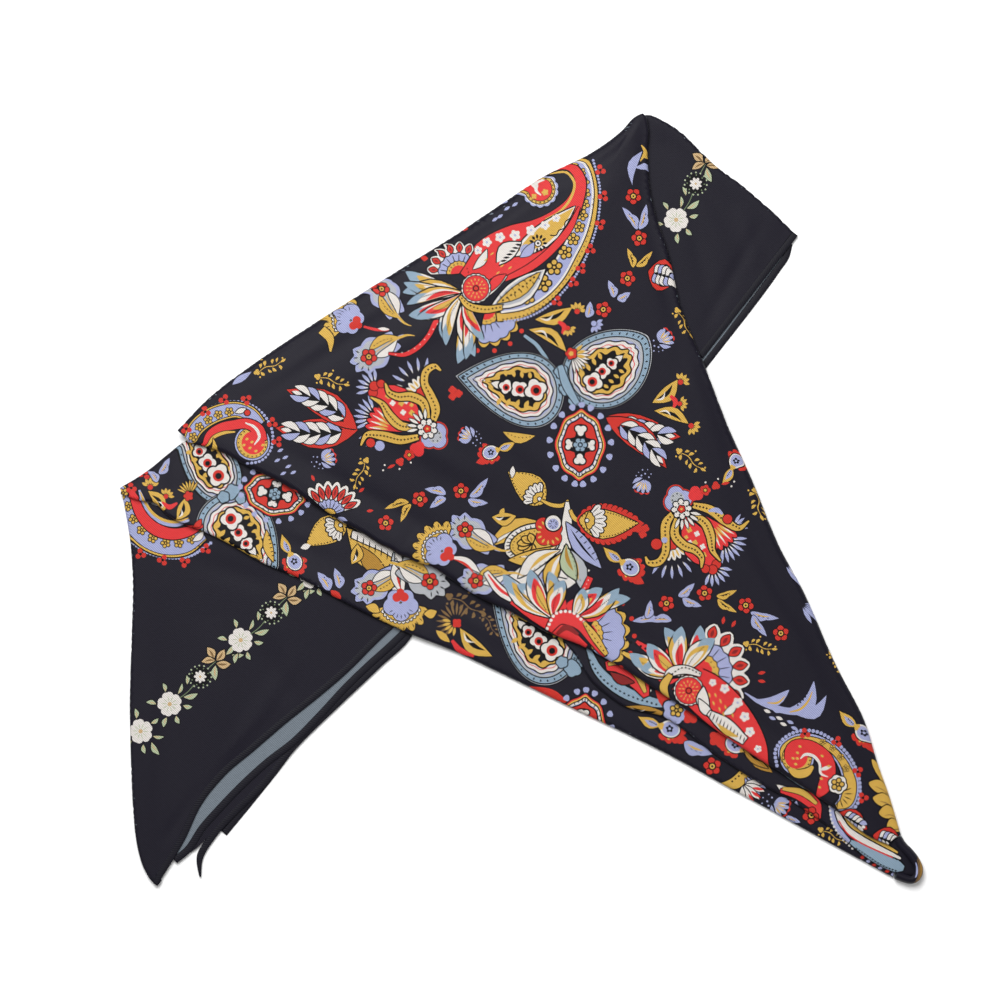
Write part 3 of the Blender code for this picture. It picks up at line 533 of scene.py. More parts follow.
@dataclass
class Pen:
    """Draws filled shapes into a painter's list, in a frame of its own that is set on the chart."""
    shapes: list
    x: float = 0.0
    y: float = 0.0
    turn: float = 0.0
    size: float = 1.0
    flip: int = 1

    def at(self, x: float, y: float, turn: float = 0.0, size: float = 1.0, flip: int = 1) -> "Pen":
        """A pen whose frame is set at a place in this one's."""
        (cx, cy), = self.chart(np.array([(x, y)], float))
        return Pen(self.shapes, cx, cy, self.turn + turn * self.flip, self.size * size, self.flip * flip)

    def chart(self, points: Points) -> Points:
        """Points of the pen's frame on the chart."""
        c, s = compass(self.turn)
        px, py = points[:, 0] * self.size, points[:, 1] * self.size * self.flip
        return np.column_stack([self.x + px * c - py * s, self.y + px * s + py * c])

    def fill(self, ring: Points, tint: Tint, line: float = 0.0) -> None:
        """One filled shape, on a dark outline where line is its width."""
        ring = self.chart(ring)
        if line:
            self.shapes.append((grown(ring, line * OUTLINE), Tint.BLACK))
        self.shapes.append((ring, tint))

    def disc(self, x: float, y: float, r: float, tint: Tint, ry: float = 0.0, line: float = 0.0) -> None:
        """An ellipse."""
        angle = np.linspace(0, 2 * math.pi, max(8, min(24, int(r * 3) + 4)), endpoint=False)
        self.fill(np.column_stack([x + r * np.cos(angle), y + (ry or r) * np.sin(angle)]), tint, line)

    def lobed(self, x: float, y: float, r: float, lobes: int, tint: Tint, depth: float = 0.22,
              start: float = 0.0, line: float = 0.0) -> None:
        """A disc whose edge is scalloped into lobes."""
        angle = np.linspace(0, 2 * math.pi, lobes * 6, endpoint=False)
        radius = r * (1 - depth + depth * np.abs(np.sin(lobes * angle / 2)))
        self.fill(polar(x, y, radius, angle + math.radians(start)), tint, line)

    def leaf(self, x0: float, y0: float, x1: float, y1: float, width: float, tint: Tint,
             bend: float = 0.0, full: float = 1.0, line: float = 0.0, blunt: float = 1.0) -> None:
        """A leaf from base to tip: half a sine wide, full below 1 puts its belly by the base, and
        blunt below 1 rounds its ends."""
        t = (1 - np.cos(np.linspace(0, math.pi, 10))) / 2
        base, along = np.array([x0, y0]), np.array([x1 - x0, y1 - y0])
        side = np.array([-along[1], along[0]]) / max(math.hypot(*along), 1e-6)
        spine = base + along * t[:, None] + side * (bend * math.hypot(*along) * np.sin(math.pi * t))[:, None]
        half = side * (width / 2 * np.abs(np.sin(math.pi * t**full)) ** blunt)[:, None]
        self.fill(np.vstack([spine + half, (spine - half)[-2:0:-1]]), tint, line)

    def line(self, points: list, width: float | list, tint: Tint, line: float = 0.0) -> None:
        """A smooth ribbon through points, of one width or a width at each."""
        widths = np.broadcast_to(width, len(points))
        path = smooth([(*p, w) for p, w in zip(points, widths)], 5)
        side = inward(path[:, :2], 1) * path[:, 2:] / 2
        self.fill(np.vstack([path[:, :2] + side, (path[:, :2] - side)[::-1]]), tint, line)

    def dots(self, points: list, count: int, r: float, tint: Tint, line: float = 0.0) -> None:
        """Small round dots, evenly spaced along a smooth path."""
        path = smooth(points, 8)
        run = lengths(path)
        at = np.linspace(0, run[-1], count)
        for x, y in np.column_stack([np.interp(at, run, c) for c in path.T]):
            self.disc(x, y, r, tint, line=line)

    def ring(self, x: float, y: float, radius: float, count: int, r: float, tint: Tint,
             ry: float = 0.0, line: float = 0.0) -> None:
        """Dots set round an ellipse."""
        for angle in np.linspace(0, 2 * math.pi, count, endpoint=False):
            self.disc(x + radius * math.cos(angle), y + (ry or radius) * math.sin(angle), r, tint, line=line)

    def fan(self, x: float, y: float, near: float, far: float, start: float, end: float, lobes: int,
            tint: Tint, depth: float = 0.12, line: float = 0.0) -> None:
        """A sector between two radii whose outer edge is scalloped, angles in degrees."""
        share = np.linspace(0, 1, lobes * 5 + 1)
        angle = np.radians(start + (end - start) * share)
        outer = far * (1 - depth + depth * np.abs(np.sin(lobes * math.pi * share)))
        rows = polar(x, y, outer, angle)
        self.fill(np.vstack([rows, polar(x, y, near + 0 * angle, angle)[::-1]]), tint, line)

    def rays(self, x: float, y: float, near: float, far: float, start: float, end: float, count: int,
             width: float, tint: Tint, line: float = 0.0) -> None:
        """Narrow petals that stand round a centre between two radii."""
        for angle in np.radians(np.linspace(start, end, count)):
            c, s = math.cos(angle), math.sin(angle)
            self.leaf(x + near * c, y + near * s, x + far * c, y + far * s, width, tint, line=line)


def each(draw: Callable[..., None], pen: Pen, *spots: tuple) -> None:
    """One motif at each of the spots, which give its place and whatever else it takes."""
    for spot in spots:
        draw(pen, *spot)


def bits(pen: Pen, spots: tuple, dx: float, dy: float, width: float, tint: Tint,
         blunt: float = 1.0) -> None:
    """Small leaves of one size and direction, one from each of the spots."""
    for x, y in spots:
        pen.leaf(x, y, x + dx, y + dy, width, tint, blunt=blunt)


def knots(pen: Pen, *spots: tuple) -> None:
    """Teal knots of five lobes at the broad end of a heart."""
    for x, y, r in spots:
        pen.lobed(x, y, r, 5, Tint.TEAL, 0.2, line=0.6)


def arc_beads(pen: Pen, x: float, y: float, radius: float, start: float, step: float) -> None:
    """Six red beads on an arc, angles in degrees."""
    for k in range(6):
        c, s = compass(start + step * k)
        pen.disc(x + radius * c, y + radius * s, 2.4, Tint.RED)


def blossom(pen: Pen, x: float, y: float, r: float = 8.0, tint: Tint = Tint.RED,
            heart: Tint = Tint.GOLD) -> None:
    """A small flower of five round petals, dark between them, with a dotted heart."""
    p = pen.at(x, y, turn=(x * 7 + y * 3) % 72)
    p.lobed(0, 0, r, 5, tint, 0.3, line=0.5)
    for angle in np.radians(range(0, 360, 72)):
        c, s = r * math.cos(angle), r * math.sin(angle)
        p.leaf(c * 0.3, s * 0.3, c * 0.78, s * 0.78, 1.1, Tint.BLACK)
    p.disc(0, 0, r * 0.3, heart, line=0.7)
    p.disc(0, 0, r * 0.13, Tint.BLACK)


def trio(pen: Pen, x: float, y: float, turn: float = 0.0, r: float = 2.6) -> None:
    """Three red beads round a dark eye."""
    p = pen.at(x, y, turn)
    for angle in (-100, 20, 140):
        c, s = compass(angle)
        p.disc(r * 1.25 * c, r * 1.25 * s, r, Tint.RED)
    p.disc(0, 0, r * 0.55, Tint.BLACK)


def plain_leaf(pen: Pen, x0: float, y0: float, x1: float, y1: float, width: float,
               tint: Tint = Tint.LAVENDER, vein: Tint = Tint.GOLD, bend: float = 0.08) -> None:
    """A small notched leaf with a thin vein of another colour and dark ticks on one side."""
    dx, dy = x1 - x0, y1 - y0
    pen.leaf(x0, y0, x0 + dx * 0.72, y0 + dy * 0.72, width, tint, bend * 1.6, 0.9, line=0.4, blunt=0.7)
    pen.leaf(x0 + dx * 0.2, y0 + dy * 0.2, x1, y1, width * 0.74, tint, bend * 0.6, 0.9)
    pen.leaf(x0 + dx * 0.1, y0 + dy * 0.1, x0 + dx * 0.7, y0 + dy * 0.7, width * 0.16, vein, bend)
    side = width * 0.24 / max(math.hypot(dx, dy), 1.0)
    for share in (0.26, 0.42, 0.58):
        x, y = x0 + dx * share - dy * side, y0 + dy * share + dx * side
        pen.leaf(x, y, x + dx * 0.09, y + dy * 0.09, 0.9, Tint.BLACK)


def slit_leaf(pen: Pen, x0: float, y0: float, x1: float, y1: float, width: float,
              tint: Tint = Tint.GOLD, bend: float = 0.12) -> None:
    """A long leaf, open along its middle and ticked along its rim."""
    pen.leaf(x0, y0, x1, y1, width, tint, bend, line=0.5)
    dx, dy = x1 - x0, y1 - y0
    pen.leaf(x0 + dx * 0.16, y0 + dy * 0.16, x0 + dx * 0.8, y0 + dy * 0.8, width * 0.3, Tint.BLACK,
             bend * 1.2)
    pen.leaf(x0 + dx * 0.12, y0 + dy * 0.12, x0 + dx * 0.5, y0 + dy * 0.5, width * 0.16, Tint.WHITE,
             bend * 2.4)


def petal(pen: Pen, x0: float, y0: float, x1: float, y1: float, width: float, coats: tuple,
          bend: float = 0.06) -> None:
    """A long petal of nested colours, the first of them at its tip, dotted along its middle."""
    dx, dy = x1 - x0, y1 - y0
    for k, tint in enumerate(coats[1:]):
        share = 0.97 - 0.15 * k
        pen.leaf(x0 + dx * 0.03 * k, y0 + dy * 0.03 * k, x0 + dx * share, y0 + dy * share,
                 width * (1 - 0.28 * k), tint, bend, 1.3, line=0.7 if k == 0 else 0.0, blunt=0.8)
        if k == 0:
            pen.leaf(x0 + dx * 0.52 - dy * bend * 0.9, y0 + dy * 0.52 + dx * bend * 0.9, x1, y1, width * 0.72,
                     coats[0], bend * 0.4, 1.1, blunt=0.85)
    side = bend * 0.9
    middle = [(x0 + dx * s - dy * side * math.sin(math.pi * s),
               y0 + dy * s + dx * side * math.sin(math.pi * s))
              for s in (0.2, 0.45, 0.72)]
    pen.dots(middle, max(4, int(math.hypot(dx, dy) / 4)), 0.7, Tint.BLACK)


def sprig(pen: Pen, x: float, y: float, turn: float, size: float = 1.0, tint: Tint = Tint.GOLD) -> None:
    """A loose spray of small buds, most of them in pairs, up a thin stalk."""
    p = pen.at(x, y, turn, size)
    p.line([(-14, 2), (-4, -1), (6, 1), (14, -1)], [0.5, 0.9, 0.8, 0.4], tint)
    for at, side, reach, width in ((-12, 1, 7, 3.4), (-11, -1, 6, 2.8), (-6, -1, 7.5, 3.2), (-4, 1, 6.5, 2.6),
                                   (1, 1, 7, 3.2), (2, -1, 6.5, 2.8), (7, -1, 6, 2.4), (8, 1, 5.5, 2.8)):
        p.leaf(at + 1.6, side * 1.6, at + 4.6, side * reach, width, tint, side * 0.12, 1.2)
    for bx, by in ((-13, 7), (-2, -10), (11, 6), (16, -4)):
        p.disc(bx, by, 1.0, tint)
    p.lobed(-14.5, 1, 3.4, 3, tint, 0.35)
    p.leaf(12.5, -0.5, 19, -2, 2.8, tint)


def tuft(pen: Pen, x: float, y: float, turn: float = 0.0, size: float = 1.0) -> None:
    """A lavender bell with a frayed edge and a few loose dots."""
    p = pen.at(x, y, turn, size)
    p.fan(-5, 0, 0, 15, -50, 44, 4, Tint.LAVENDER, 0.34, line=0.5)
    p.leaf(-5, -1, 4, -10, 4.6, Tint.LAVENDER, -0.1)
    p.leaf(-6, 2, 3, 10, 4, Tint.LAVENDER, 0.1)
    p.rays(-6, 0, 4, 13, -30, 24, 4, 1.5, Tint.GOLD)
    p.rays(-6, 0, 6, 12, -18, 34, 3, 0.9, Tint.WHITE)
    p.fan(-5, 0, 14.4, 16.2, -44, 26, 3, Tint.RED, 0.1)
    loose = ((-8, 4), (-11, 1), (-9, -4), (-14, 5), (-6, 9), (-13, -5), (-16, 0), (-10, 8))
    for k, (dx, dy) in enumerate(loose):
        p.disc(dx, dy, 1.0 - 0.06 * k, Tint.LAVENDER)


def almond(pen: Pen, x: float, y: float, turn: float, size: float = 1.0) -> None:
    """A wavy almond medallion: pebbles, a ticked gold and white rim, a red field and white clovers."""
    p = pen.at(x, y, turn, size)
    for k in range(17):
        angle = 2 * math.pi * (k + 0.5) / 17
        c, s = math.cos(angle), math.sin(angle)
        q = p.at(40.5 * c, 31.5 * s * abs(s) ** 0.2, math.degrees(angle))
        q.lobed(0, 0, 3.5, 3, Tint.LAVENDER, 0.2)
    t = np.linspace(0, 2 * math.pi, 60, endpoint=False)
    shape = np.sin(t) * np.abs(np.sin(t)) ** 0.25
    for length, width, tint, line in (
        (35.5, 50, Tint.CORAL, 0.7), (34, 47, Tint.GOLD, 0.0), (31, 42.5, Tint.WHITE, 0.6),
        (28.6, 38.5, Tint.LAVENDER, 0.0), (26.4, 35, Tint.RED, 0.7),
    ):
        wave = 1 + 0.035 * np.cos(8 * t)
        p.fill(np.column_stack([length * np.cos(t) * wave, width / 2 * shape * wave]), tint, line)
    for k in range(30):
        angle = 2 * math.pi * k / 30
        c, s = math.cos(angle), math.sin(angle) * abs(math.sin(angle)) ** 0.25
        p.leaf(28 * c, 18.6 * s, 32.5 * c, 22 * s, 1.3, Tint.BLACK)
    star = 1 + 0.3 * np.cos(4 * t)
    p.fill(np.column_stack([16.5 * np.cos(t) * star, 11.5 * np.sin(t) * star]), Tint.BLACK)
    for angle, r in ((0, 6.4), (90, 5.4), (180, 6.4), (270, 5.4)):
        c, s = compass(angle)
        q = p.at(14.6 * c, 10.4 * s, angle)
        for share, tint, line in ((0.52, Tint.BLACK, 0.7), (0.5, Tint.WHITE, 0.0)):
            for dx, dy in ((1.8, -2.6), (1.8, 2.6), (-2.4, 0)):
                q.disc(dx, dy, r * share, tint, line=line)
    p.lobed(0, 0, 7, 6, Tint.TEAL, 0.25, line=0.8)
    p.ring(0, 0, 4.6, 6, 0.8, Tint.BLACK)
    p.disc(0, 0, 2.8, Tint.BLACK)
    p.disc(0, 0, 1.6, Tint.TEAL)


def eye_flower(pen: Pen, x: float, y: float, r: float) -> None:
    """A white flower with a red and black eye."""
    p = pen.at(x, y, turn=(x * 5) % 60)
    p.lobed(0, 0, r, 4, Tint.WHITE, 0.3, line=0.9)
    p.disc(0.5, 0.3, r * 0.5, Tint.RED)
    p.disc(0.8, 0.4, r * 0.28, Tint.BLACK)


def heart(pen: Pen, x: float, y: float, turn: float, size: float = 1.0, flip: int = 1,
          sharp: float = 1.0, wide: float = 1.0) -> None:
    """A broad drop with its point at x, y: a beaded teal border, white frills, gold flames and three
    flowers in a dark field.  It is narrowed by wide where its cloth turns away."""
    p = pen.at(x, y, turn, size, flip)
    t = np.linspace(0, 2 * math.pi, 72, endpoint=False)
    drop = np.column_stack([51 * (1 - np.cos(t)),
                            45 * wide * np.sin(t) * np.sin(t / 2) ** sharp + 4.5 * (1 - np.cos(t))])
    middle = np.array([62.0, 5.0])

    def coat(share: float, tint: Tint, line: float = 0.0, frill: float = 0.0, teeth: int = 18) -> Points:
        """One nested layer of the drop, whose edge may be frilled."""
        ring = middle + (drop - middle) * (share + frill * np.sin(teeth * t))[:, None]
        p.fill(ring, tint, line)
        return ring

    coat(1.05, Tint.GREY, 0.5, 0.016, 36)
    coat(1.005, Tint.TEAL, 0.7)
    for (ax, ay), (bx, by) in zip(*((middle + (drop - middle) * share)[1:-1:2] for share in (0.915, 0.985))):
        p.leaf(ax, ay, bx, by, 1.7, Tint.BLACK)
    coat(0.86, Tint.GREY, 0.6)
    coat(0.8, Tint.LAVENDER, 0.0, 0.01, 24)
    coat(0.75, Tint.WHITE, 0.7, 0.02, 14)
    coat(0.68, Tint.CORAL, 0.0, 0.02, 14)
    coat(0.66, Tint.WHITE, 0.0, 0.02, 14)
    coat(0.6, Tint.GOLD, 0.8, 0.03, 11)
    coat(0.5, Tint.BLACK, 0.0, 0.05, 11)
    for k in range(5):
        p.leaf(40 + 9 * k, (25 - 0.5 * abs(k - 2)) * wide, 43 + 9 * k, 16 * wide, 4.4, Tint.GOLD)
        p.leaf(44 + 8 * k, -12 * wide, 46 + 8 * k, -5 * wide, 3.8, Tint.GOLD)
    p.leaf(32, 3, 46, 5, 7, Tint.WHITE, line=0.4)
    each(eye_flower, p, (47, 5, 7), (60, 6, 8.5), (76, 5, 11))


def feather(pen: Pen, x0: float, y0: float, x1: float, y1: float, width: float, bend: float = 0.0) -> None:
    """A red-edged leaf from base to tip: long white and lavender leaflets on a dark field."""
    length, angle = math.hypot(x1 - x0, y1 - y0), math.degrees(math.atan2(y1 - y0, x1 - x0))
    p = pen.at(x0, y0, angle)
    p.leaf(0, 0, length, 0, width, Tint.RED, bend, 0.85, line=0.6)
    w = width * 0.74
    p.leaf(length * 0.18, 0, length * 0.95, 0, w, Tint.BLACK, bend, 0.85)
    for k in range(5):
        share = 0.2 + 0.125 * k
        reach = w * 0.4 * math.sin(math.pi * min(1, share * 0.82 + 0.2))
        lift, ahead = (bend * length * math.sin(math.pi * v) for v in (share, min(1, share + 0.2)))
        for side in (-1, 1):
            tint = Tint.LAVENDER if (k + (side > 0)) % 3 == 1 else Tint.WHITE
            p.leaf(length * share, lift + side * 0.7, length * (share + 0.23), ahead + side * reach, w * 0.3,
                   tint, side * 0.14, 1.1, line=0.5, blunt=0.8)
    p.leaf(length * 0.8, bend * length * 0.56, length * 0.93, bend * length * 0.2, w * 0.2, Tint.WHITE)


def eye_drop(pen: Pen, x: float, y: float, turn: float, size: float = 1.0, flip: int = 1) -> None:
    """A gold leaf that opens into a lavender eye with a ruffled red skirt."""
    p = pen.at(x, y, turn, size, flip)
    p.leaf(-33, -2, -8, 0, 11, Tint.GOLD, 0.06, 1.25, line=0.5)
    p.leaf(-26, -1, -10, 0, 6, Tint.LAVENDER, 0.06, 1.2)
    p.dots([(-20, -1), (-13, 0)], 4, 0.8, Tint.BLACK)
    for k, (dx, dy) in enumerate(((-3, 9.5), (4, 11), (10, 9), (14, 4), (15.5, -2), (12, -7), (6, -10.5))):
        p.lobed(dx, dy, 4.2 - 0.1 * k, 3, Tint.RED, 0.2)
    p.leaf(6, 4, 24, 6, 10, Tint.RED, 0.1)
    p.disc(4, 0, 12.5, Tint.RED, 10.5)
    p.fan(0, 0, 8, 12, -70, 80, 7, Tint.GOLD, 0.2)
    p.disc(2, 0, 10.2, Tint.WHITE, 8.6, line=0.6)
    p.disc(2.4, 0, 8.6, Tint.LAVENDER, 7.2)
    p.lobed(1.5, 0, 4.2, 5, Tint.BLACK, 0.45)
    p.disc(1.5, 0, 1.5, Tint.LAVENDER)
    p.lobed(-8, 0, 4, 3, Tint.GOLD, 0.4)


def star_leaf(pen: Pen, x: float, y: float, turn: float, size: float = 1.0, flip: int = 1,
              coat: Tint = Tint.LAVENDER) -> None:
    """A jagged leaf that holds a red flower, with a gold tongue that runs out into a stalk."""
    p = pen.at(x, y, turn, size, flip)
    t = np.linspace(0, 2 * math.pi, 66, endpoint=False)
    jag = 1 + 0.13 * (np.abs(((t * 9 / math.pi) % 2) - 1) * 2 - 1)
    for share, tint, line in ((1.0, coat, 0.6), (0.8, Tint.GREY, 0.0)):
        reach = np.where(np.cos(t) > 0, 33, 19)
        body = np.column_stack([reach * np.cos(t) * share, 14.5 * share * np.sin(t)
                                * np.where(np.cos(t) > 0, np.abs(np.sin(t)) ** 0.35, 1)])
        p.fill(body * jag[:, None], tint, line)
    p.leaf(2, 5, 32, 0, 8.4, Tint.GOLD, 0.14, 0.8, line=0.4)
    p.leaf(4, -4, 29, -1, 7.4, Tint.WHITE, -0.12, 0.8, line=0.5)
    p.dots([(8, 6), (16, 6), (25, 3)], 6, 0.7, Tint.BLACK)
    p.line([(6, 0), (20, 0.4), (32, -0.5), (40, -3), (45, -7)], [0.8, 1.2, 2.6, 1.8, 0.6], Tint.GOLD)
    p.rays(-3, 0, 9, 14, 120, 240, 5, 1.2, Tint.BLACK)
    blossom(p, -2, 0, 7.6)


def bell(pen: Pen, x: float, y: float, turn: float, size: float = 1.0, flip: int = 1,
         stalk: bool = True) -> None:
    """A lavender bell with a red heart in a gold, scalloped and pebbled collar, on a white stalk."""
    p = pen.at(x, y, turn, size, flip)
    p.fan(2, 0, 0, 31, 104, 256, 7, Tint.GOLD, 0.2, line=0.6)
    p.rays(2, 0, 24, 29, 112, 248, 14, 0.9, Tint.BLACK)
    p.fan(2, 0, 0, 21.5, 110, 250, 12, Tint.WHITE, 0.12, line=0.5)
    p.fan(2, 0, 0, 19, 112, 248, 12, Tint.GOLD, 0.06, line=0.4)
    for tint, grow in ((Tint.BLACK, 0.8), (Tint.LAVENDER, 0.0)):
        for dx, dy, r in ((-8, 0, 8.6), (-2, -9, 8.4), (-2, 9, 8.4), (7, -6, 7), (7, 6, 7)):
            p.disc(dx, dy, r + grow, tint)
    p.rays(-1, 0, 9, 14, 120, 240, 7, 0.9, Tint.BLACK)
    if stalk:
        p.leaf(12, 0, 46, -3, 8, Tint.WHITE, -0.1, line=0.5)
        p.leaf(14, 1, 44, 2, 2.6, Tint.RED, -0.12)
    for dx, dy, r in ((7, -3.6, 4.6), (7, 3.6, 4.6), (12, 0, 3.8)):
        p.disc(dx, dy, r, Tint.RED)


def pod(pen: Pen, x0: float, y0: float, x1: float, y1: float, width: float, tint: Tint = Tint.GOLD,
        frill: bool = False) -> None:
    """A plump gold leaf with a shell of white panes in its belly and a ticked rim, some in red beads."""
    length, angle = math.hypot(x1 - x0, y1 - y0), math.degrees(math.atan2(y1 - y0, x1 - x0))
    p = pen.at(x0, y0, angle)
    spine = 0.05 * length
    if frill:
        for side in (-1, 1):
            for k in range(1, 12):
                share = k / 12
                half = (width * 0.5 + 3.0) * math.sin(math.pi * share**0.8) ** 0.8
                rise = spine * math.sin(math.pi * share) + side * half
                p.disc(length * share * 1.02, rise, 3.3, Tint.RED, line=0.4)
        p.leaf(-3, 0, length * 1.1, 0, width * 1.22, Tint.RED, 0.05, 0.75, blunt=0.9)
    p.leaf(0, 0, length, 0, width, tint, 0.05, 0.7, line=0.6)
    count = int(length / 2.8)
    for side in (-1, 1):
        for k in range(1, count):
            share = k / count
            half = width * 0.43 * math.sin(math.pi * share**0.7)
            p.disc(length * share, spine * math.sin(math.pi * share) + side * half, 0.7, Tint.BLACK)
    p.fan(length * 0.1, 0, 0, length * 0.36, -58, 58, 6, Tint.WHITE, 0.16, line=0.7)
    p.rays(length * 0.1, 0, length * 0.14, length * 0.35, -48, 48, 6, 0.9, Tint.BLACK)
    p.fan(length * 0.1, 0, 0, length * 0.16, -70, 70, 4, tint, 0.1, line=0.6)
    p.disc(length * 0.13, 0, width * 0.06, Tint.WHITE, line=0.5)


def shell(pen: Pen, x: float, y: float, turn: float, size: float = 1.0) -> None:
    """A white shell of scalloped panes with a red drop in each, over a lavender fan."""
    p = pen.at(x, y, turn, size)
    p.fan(0, 0, 6, 34, -150, -30, 7, Tint.WHITE, 0.16, line=0.7)
    p.rays(0, 0, 16, 30, -141, -39, 7, 5.2, Tint.RED, line=0.5)
    p.rays(0, 0, 19, 27, -141, -39, 7, 2.2, Tint.DEEP_RED)
    p.fan(0, 0, 5, 15.5, -150, -30, 7, Tint.LAVENDER, 0.1, line=0.6)
    p.rays(0, 0, 5, 15, -141, -39, 6, 0.9, Tint.BLACK)
    p.fan(0, 0, 0, 6.5, -155, -25, 5, Tint.GOLD, 0.1, line=0.5)
    for angle in (-160, -128, -52, -20):
        c, s = compass(angle)
        p.leaf(37 * c, 37 * s, 44 * c, 44 * s, 3.2, Tint.RED)


def tulip(pen: Pen, x: float, y: float, turn: float, size: float = 1.0, flip: int = 1) -> None:
    """A large bell flower: a lobed cap and a white rosette, four curled gold sepals dotted in black,
    red panels between them and sprays of lavender rays."""
    p = pen.at(x, y, turn, size, flip)
    for tint, grow in ((Tint.RED, 1.8), (Tint.BLACK, 0.6), (Tint.LAVENDER, 0.0)):
        for dx, dy, r in ((-10, 4, 8.5), (-8, -7, 8), (-16, -2, 7.6)):
            p.disc(dx, dy, r + grow, tint)
    p.disc(-11, -1, 7, Tint.GREY)
    p.ring(-11, -1, 5, 7, 0.8, Tint.BLACK)
    for cx, cy, start, end, near, far, count, width in (
        (64, 0, -50, 46, 9, 21, 6, 3.4), (45, -22, -62, 28, 11, 25, 7, 3.2),
        (26, 26, -26, 60, 22, 35, 6, 3.0), (40, -36, -120, -60, 4, 16, 4, 3.0),
    ):
        p.rays(cx, cy, near, far, start, end, count, width, Tint.LAVENDER)
        p.rays(cx, cy, near - 1, near + 5, start + 4, end - 4, count, 1.0, Tint.WHITE)
    p.fan(21, 24, 0, 22, -24, 56, 5, Tint.WHITE, 0.2, line=0.6)
    p.rays(21, 24, 11, 20, -16, 48, 5, 2.0, Tint.GOLD)
    p.fan(21, 24, 0, 11, -30, 60, 4, Tint.RED, 0.1, line=0.5)
    p.fan(18, -18, 0, 37, -34, 18, 5, Tint.CORAL, 0.12, line=0.6)
    p.rays(18, -18, 14, 30, -28, 12, 5, 3.0, Tint.GOLD)
    p.rays(18, -18, 20, 34, -30, 14, 5, 1.5, Tint.WHITE)
    p.leaf(4, 2, 68, 0, 31, Tint.CORAL, 0.02, 1.25, line=0.7)
    for dx, dy, r in ((65, -5, 4.4), (68, 1, 4.6), (64, 7, 4)):
        p.disc(dx, dy, r, Tint.RED, line=0.4)
    for k, (dx, dy) in enumerate(((22, 3), (29, -2), (36, 4), (43, -1), (51, 2), (33, 8), (27, 9), (45, -7))):
        p.lobed(dx, dy, 3.1 if k < 5 else 2.2, 4, Tint.WHITE if k % 2 else Tint.GOLD, 0.36)
    for path, count in (
        ([(0, 10), (5, 20), (18, 28), (31, 35), (36, 45), (32, 54), (25, 54)], 17),
        ([(6, 8), (20, 18), (33, 15), (43, 7), (52, 5), (61, 10)], 17),
        ([(10, -6), (23, -14), (37, -13), (51, -8), (64, -10)], 15),
        ([(2, -12), (14, -25), (31, -33), (44, -42), (42, -54)], 16),
    ):
        p.line(path, [5.5, 8.5, 8.5] + [7] * (len(path) - 5) + [5, 1.5], Tint.GOLD, line=0.7)
        p.dots(path[:-1], count, 1.0, Tint.BLACK)
    p.rays(2, 0, 8, 19, -50, 50, 6, 3.0, Tint.WHITE, line=0.4)
    p.lobed(0, 0, 10, 8, Tint.WHITE, 0.3, line=0.7)
    p.ring(0, 0, 6, 8, 1.0, Tint.BLACK)
    p.lobed(0, 0, 3.8, 5, Tint.RED, 0.25, line=0.5)
    p.disc(0, 0, 1.3, Tint.GOLD)
    for dx, dy in ((20, 41), (24, 46), (17, 47)):
        p.lobed(dx - 20, dy, 4.2, 4, Tint.RED, 0.25)


def red_spray(pen: Pen, x: float, y: float, turn: float) -> None:
    """A run of red flower bits that falls from a bell flower."""
    p = pen.at(x, y, turn)
    p.lobed(0, 0, 8, 3, Tint.CORAL, 0.25)
    p.lobed(10, 3, 5.6, 5, Tint.RED, 0.25)
    p.disc(10, 3, 1.6, Tint.GOLD, line=0.4)
    p.lobed(21, 6, 4.4, 3, Tint.RED, 0.3)
    p.leaf(26, 8, 34, 12, 3, Tint.RED)
    for dx, dy in ((15, -3), (27, 2), (33, 16), (38, 14)):
        p.disc(dx, dy, 1.0, Tint.WHITE)


def scroll_leaf(pen: Pen, x: float, y: float, turn: float, size: float = 1.0, flip: int = 1) -> None:
    """A lavender scroll: one curved stalk that opens into three pointed leaves, veined in gold."""
    p = pen.at(x, y, turn, size, flip)
    p.line([(0, 0), (14, 8), (30, 13), (46, 16), (60, 15), (72, 9)], [1, 4, 6, 7, 7, 3], Tint.LAVENDER)
    p.leaf(12, 6, 46, -6, 11, Tint.LAVENDER, 0.2, 1.2, blunt=0.85)
    p.leaf(42, 16, 71, -17, 15, Tint.LAVENDER, 0.3, 1.0, blunt=0.85)
    p.leaf(52, 18, 85, -3, 12, Tint.LAVENDER, 0.26, 1.0, blunt=0.9)
    p.line([(24, 9), (35, 8), (42, 1)], [0.8, 2.2, 0.8], Tint.GOLD)
    p.line([(48, 17), (59, 13), (67, 3), (70, -6)], [1.2, 2.4, 2.0, 0.8], Tint.GOLD)
    p.dots([(56, 9), (62, 2), (66, -7)], 6, 1.0, Tint.BLACK)


def lotus(pen: Pen, x: float, y: float, tips: list, width: float = 13.0) -> None:
    """A crown of nested petals from one base to the given tips."""
    order = ((Tint.TEAL, Tint.WHITE, Tint.GOLD, Tint.WHITE), (Tint.TEAL, Tint.GOLD, Tint.WHITE, Tint.CORAL),
             (Tint.TEAL, Tint.WHITE, Tint.CORAL, Tint.GOLD))
    for k, (tx, ty) in enumerate(tips):
        bend = 0.1 if k % 2 else -0.08
        petal(pen, x, y, tx, ty, width - 1.5 * (k % 2), order[k % 3], bend)


def white_bud(pen: Pen, x: float, y: float, r: float = 5.0) -> None:
    """A small white flower on the red body of a paisley."""
    p = pen.at(x, y, turn=(x * 11) % 70)
    p.lobed(0, 0, r, 5, Tint.WHITE, 0.3)
    p.disc(0, 0, r * 0.24, Tint.LAVENDER)


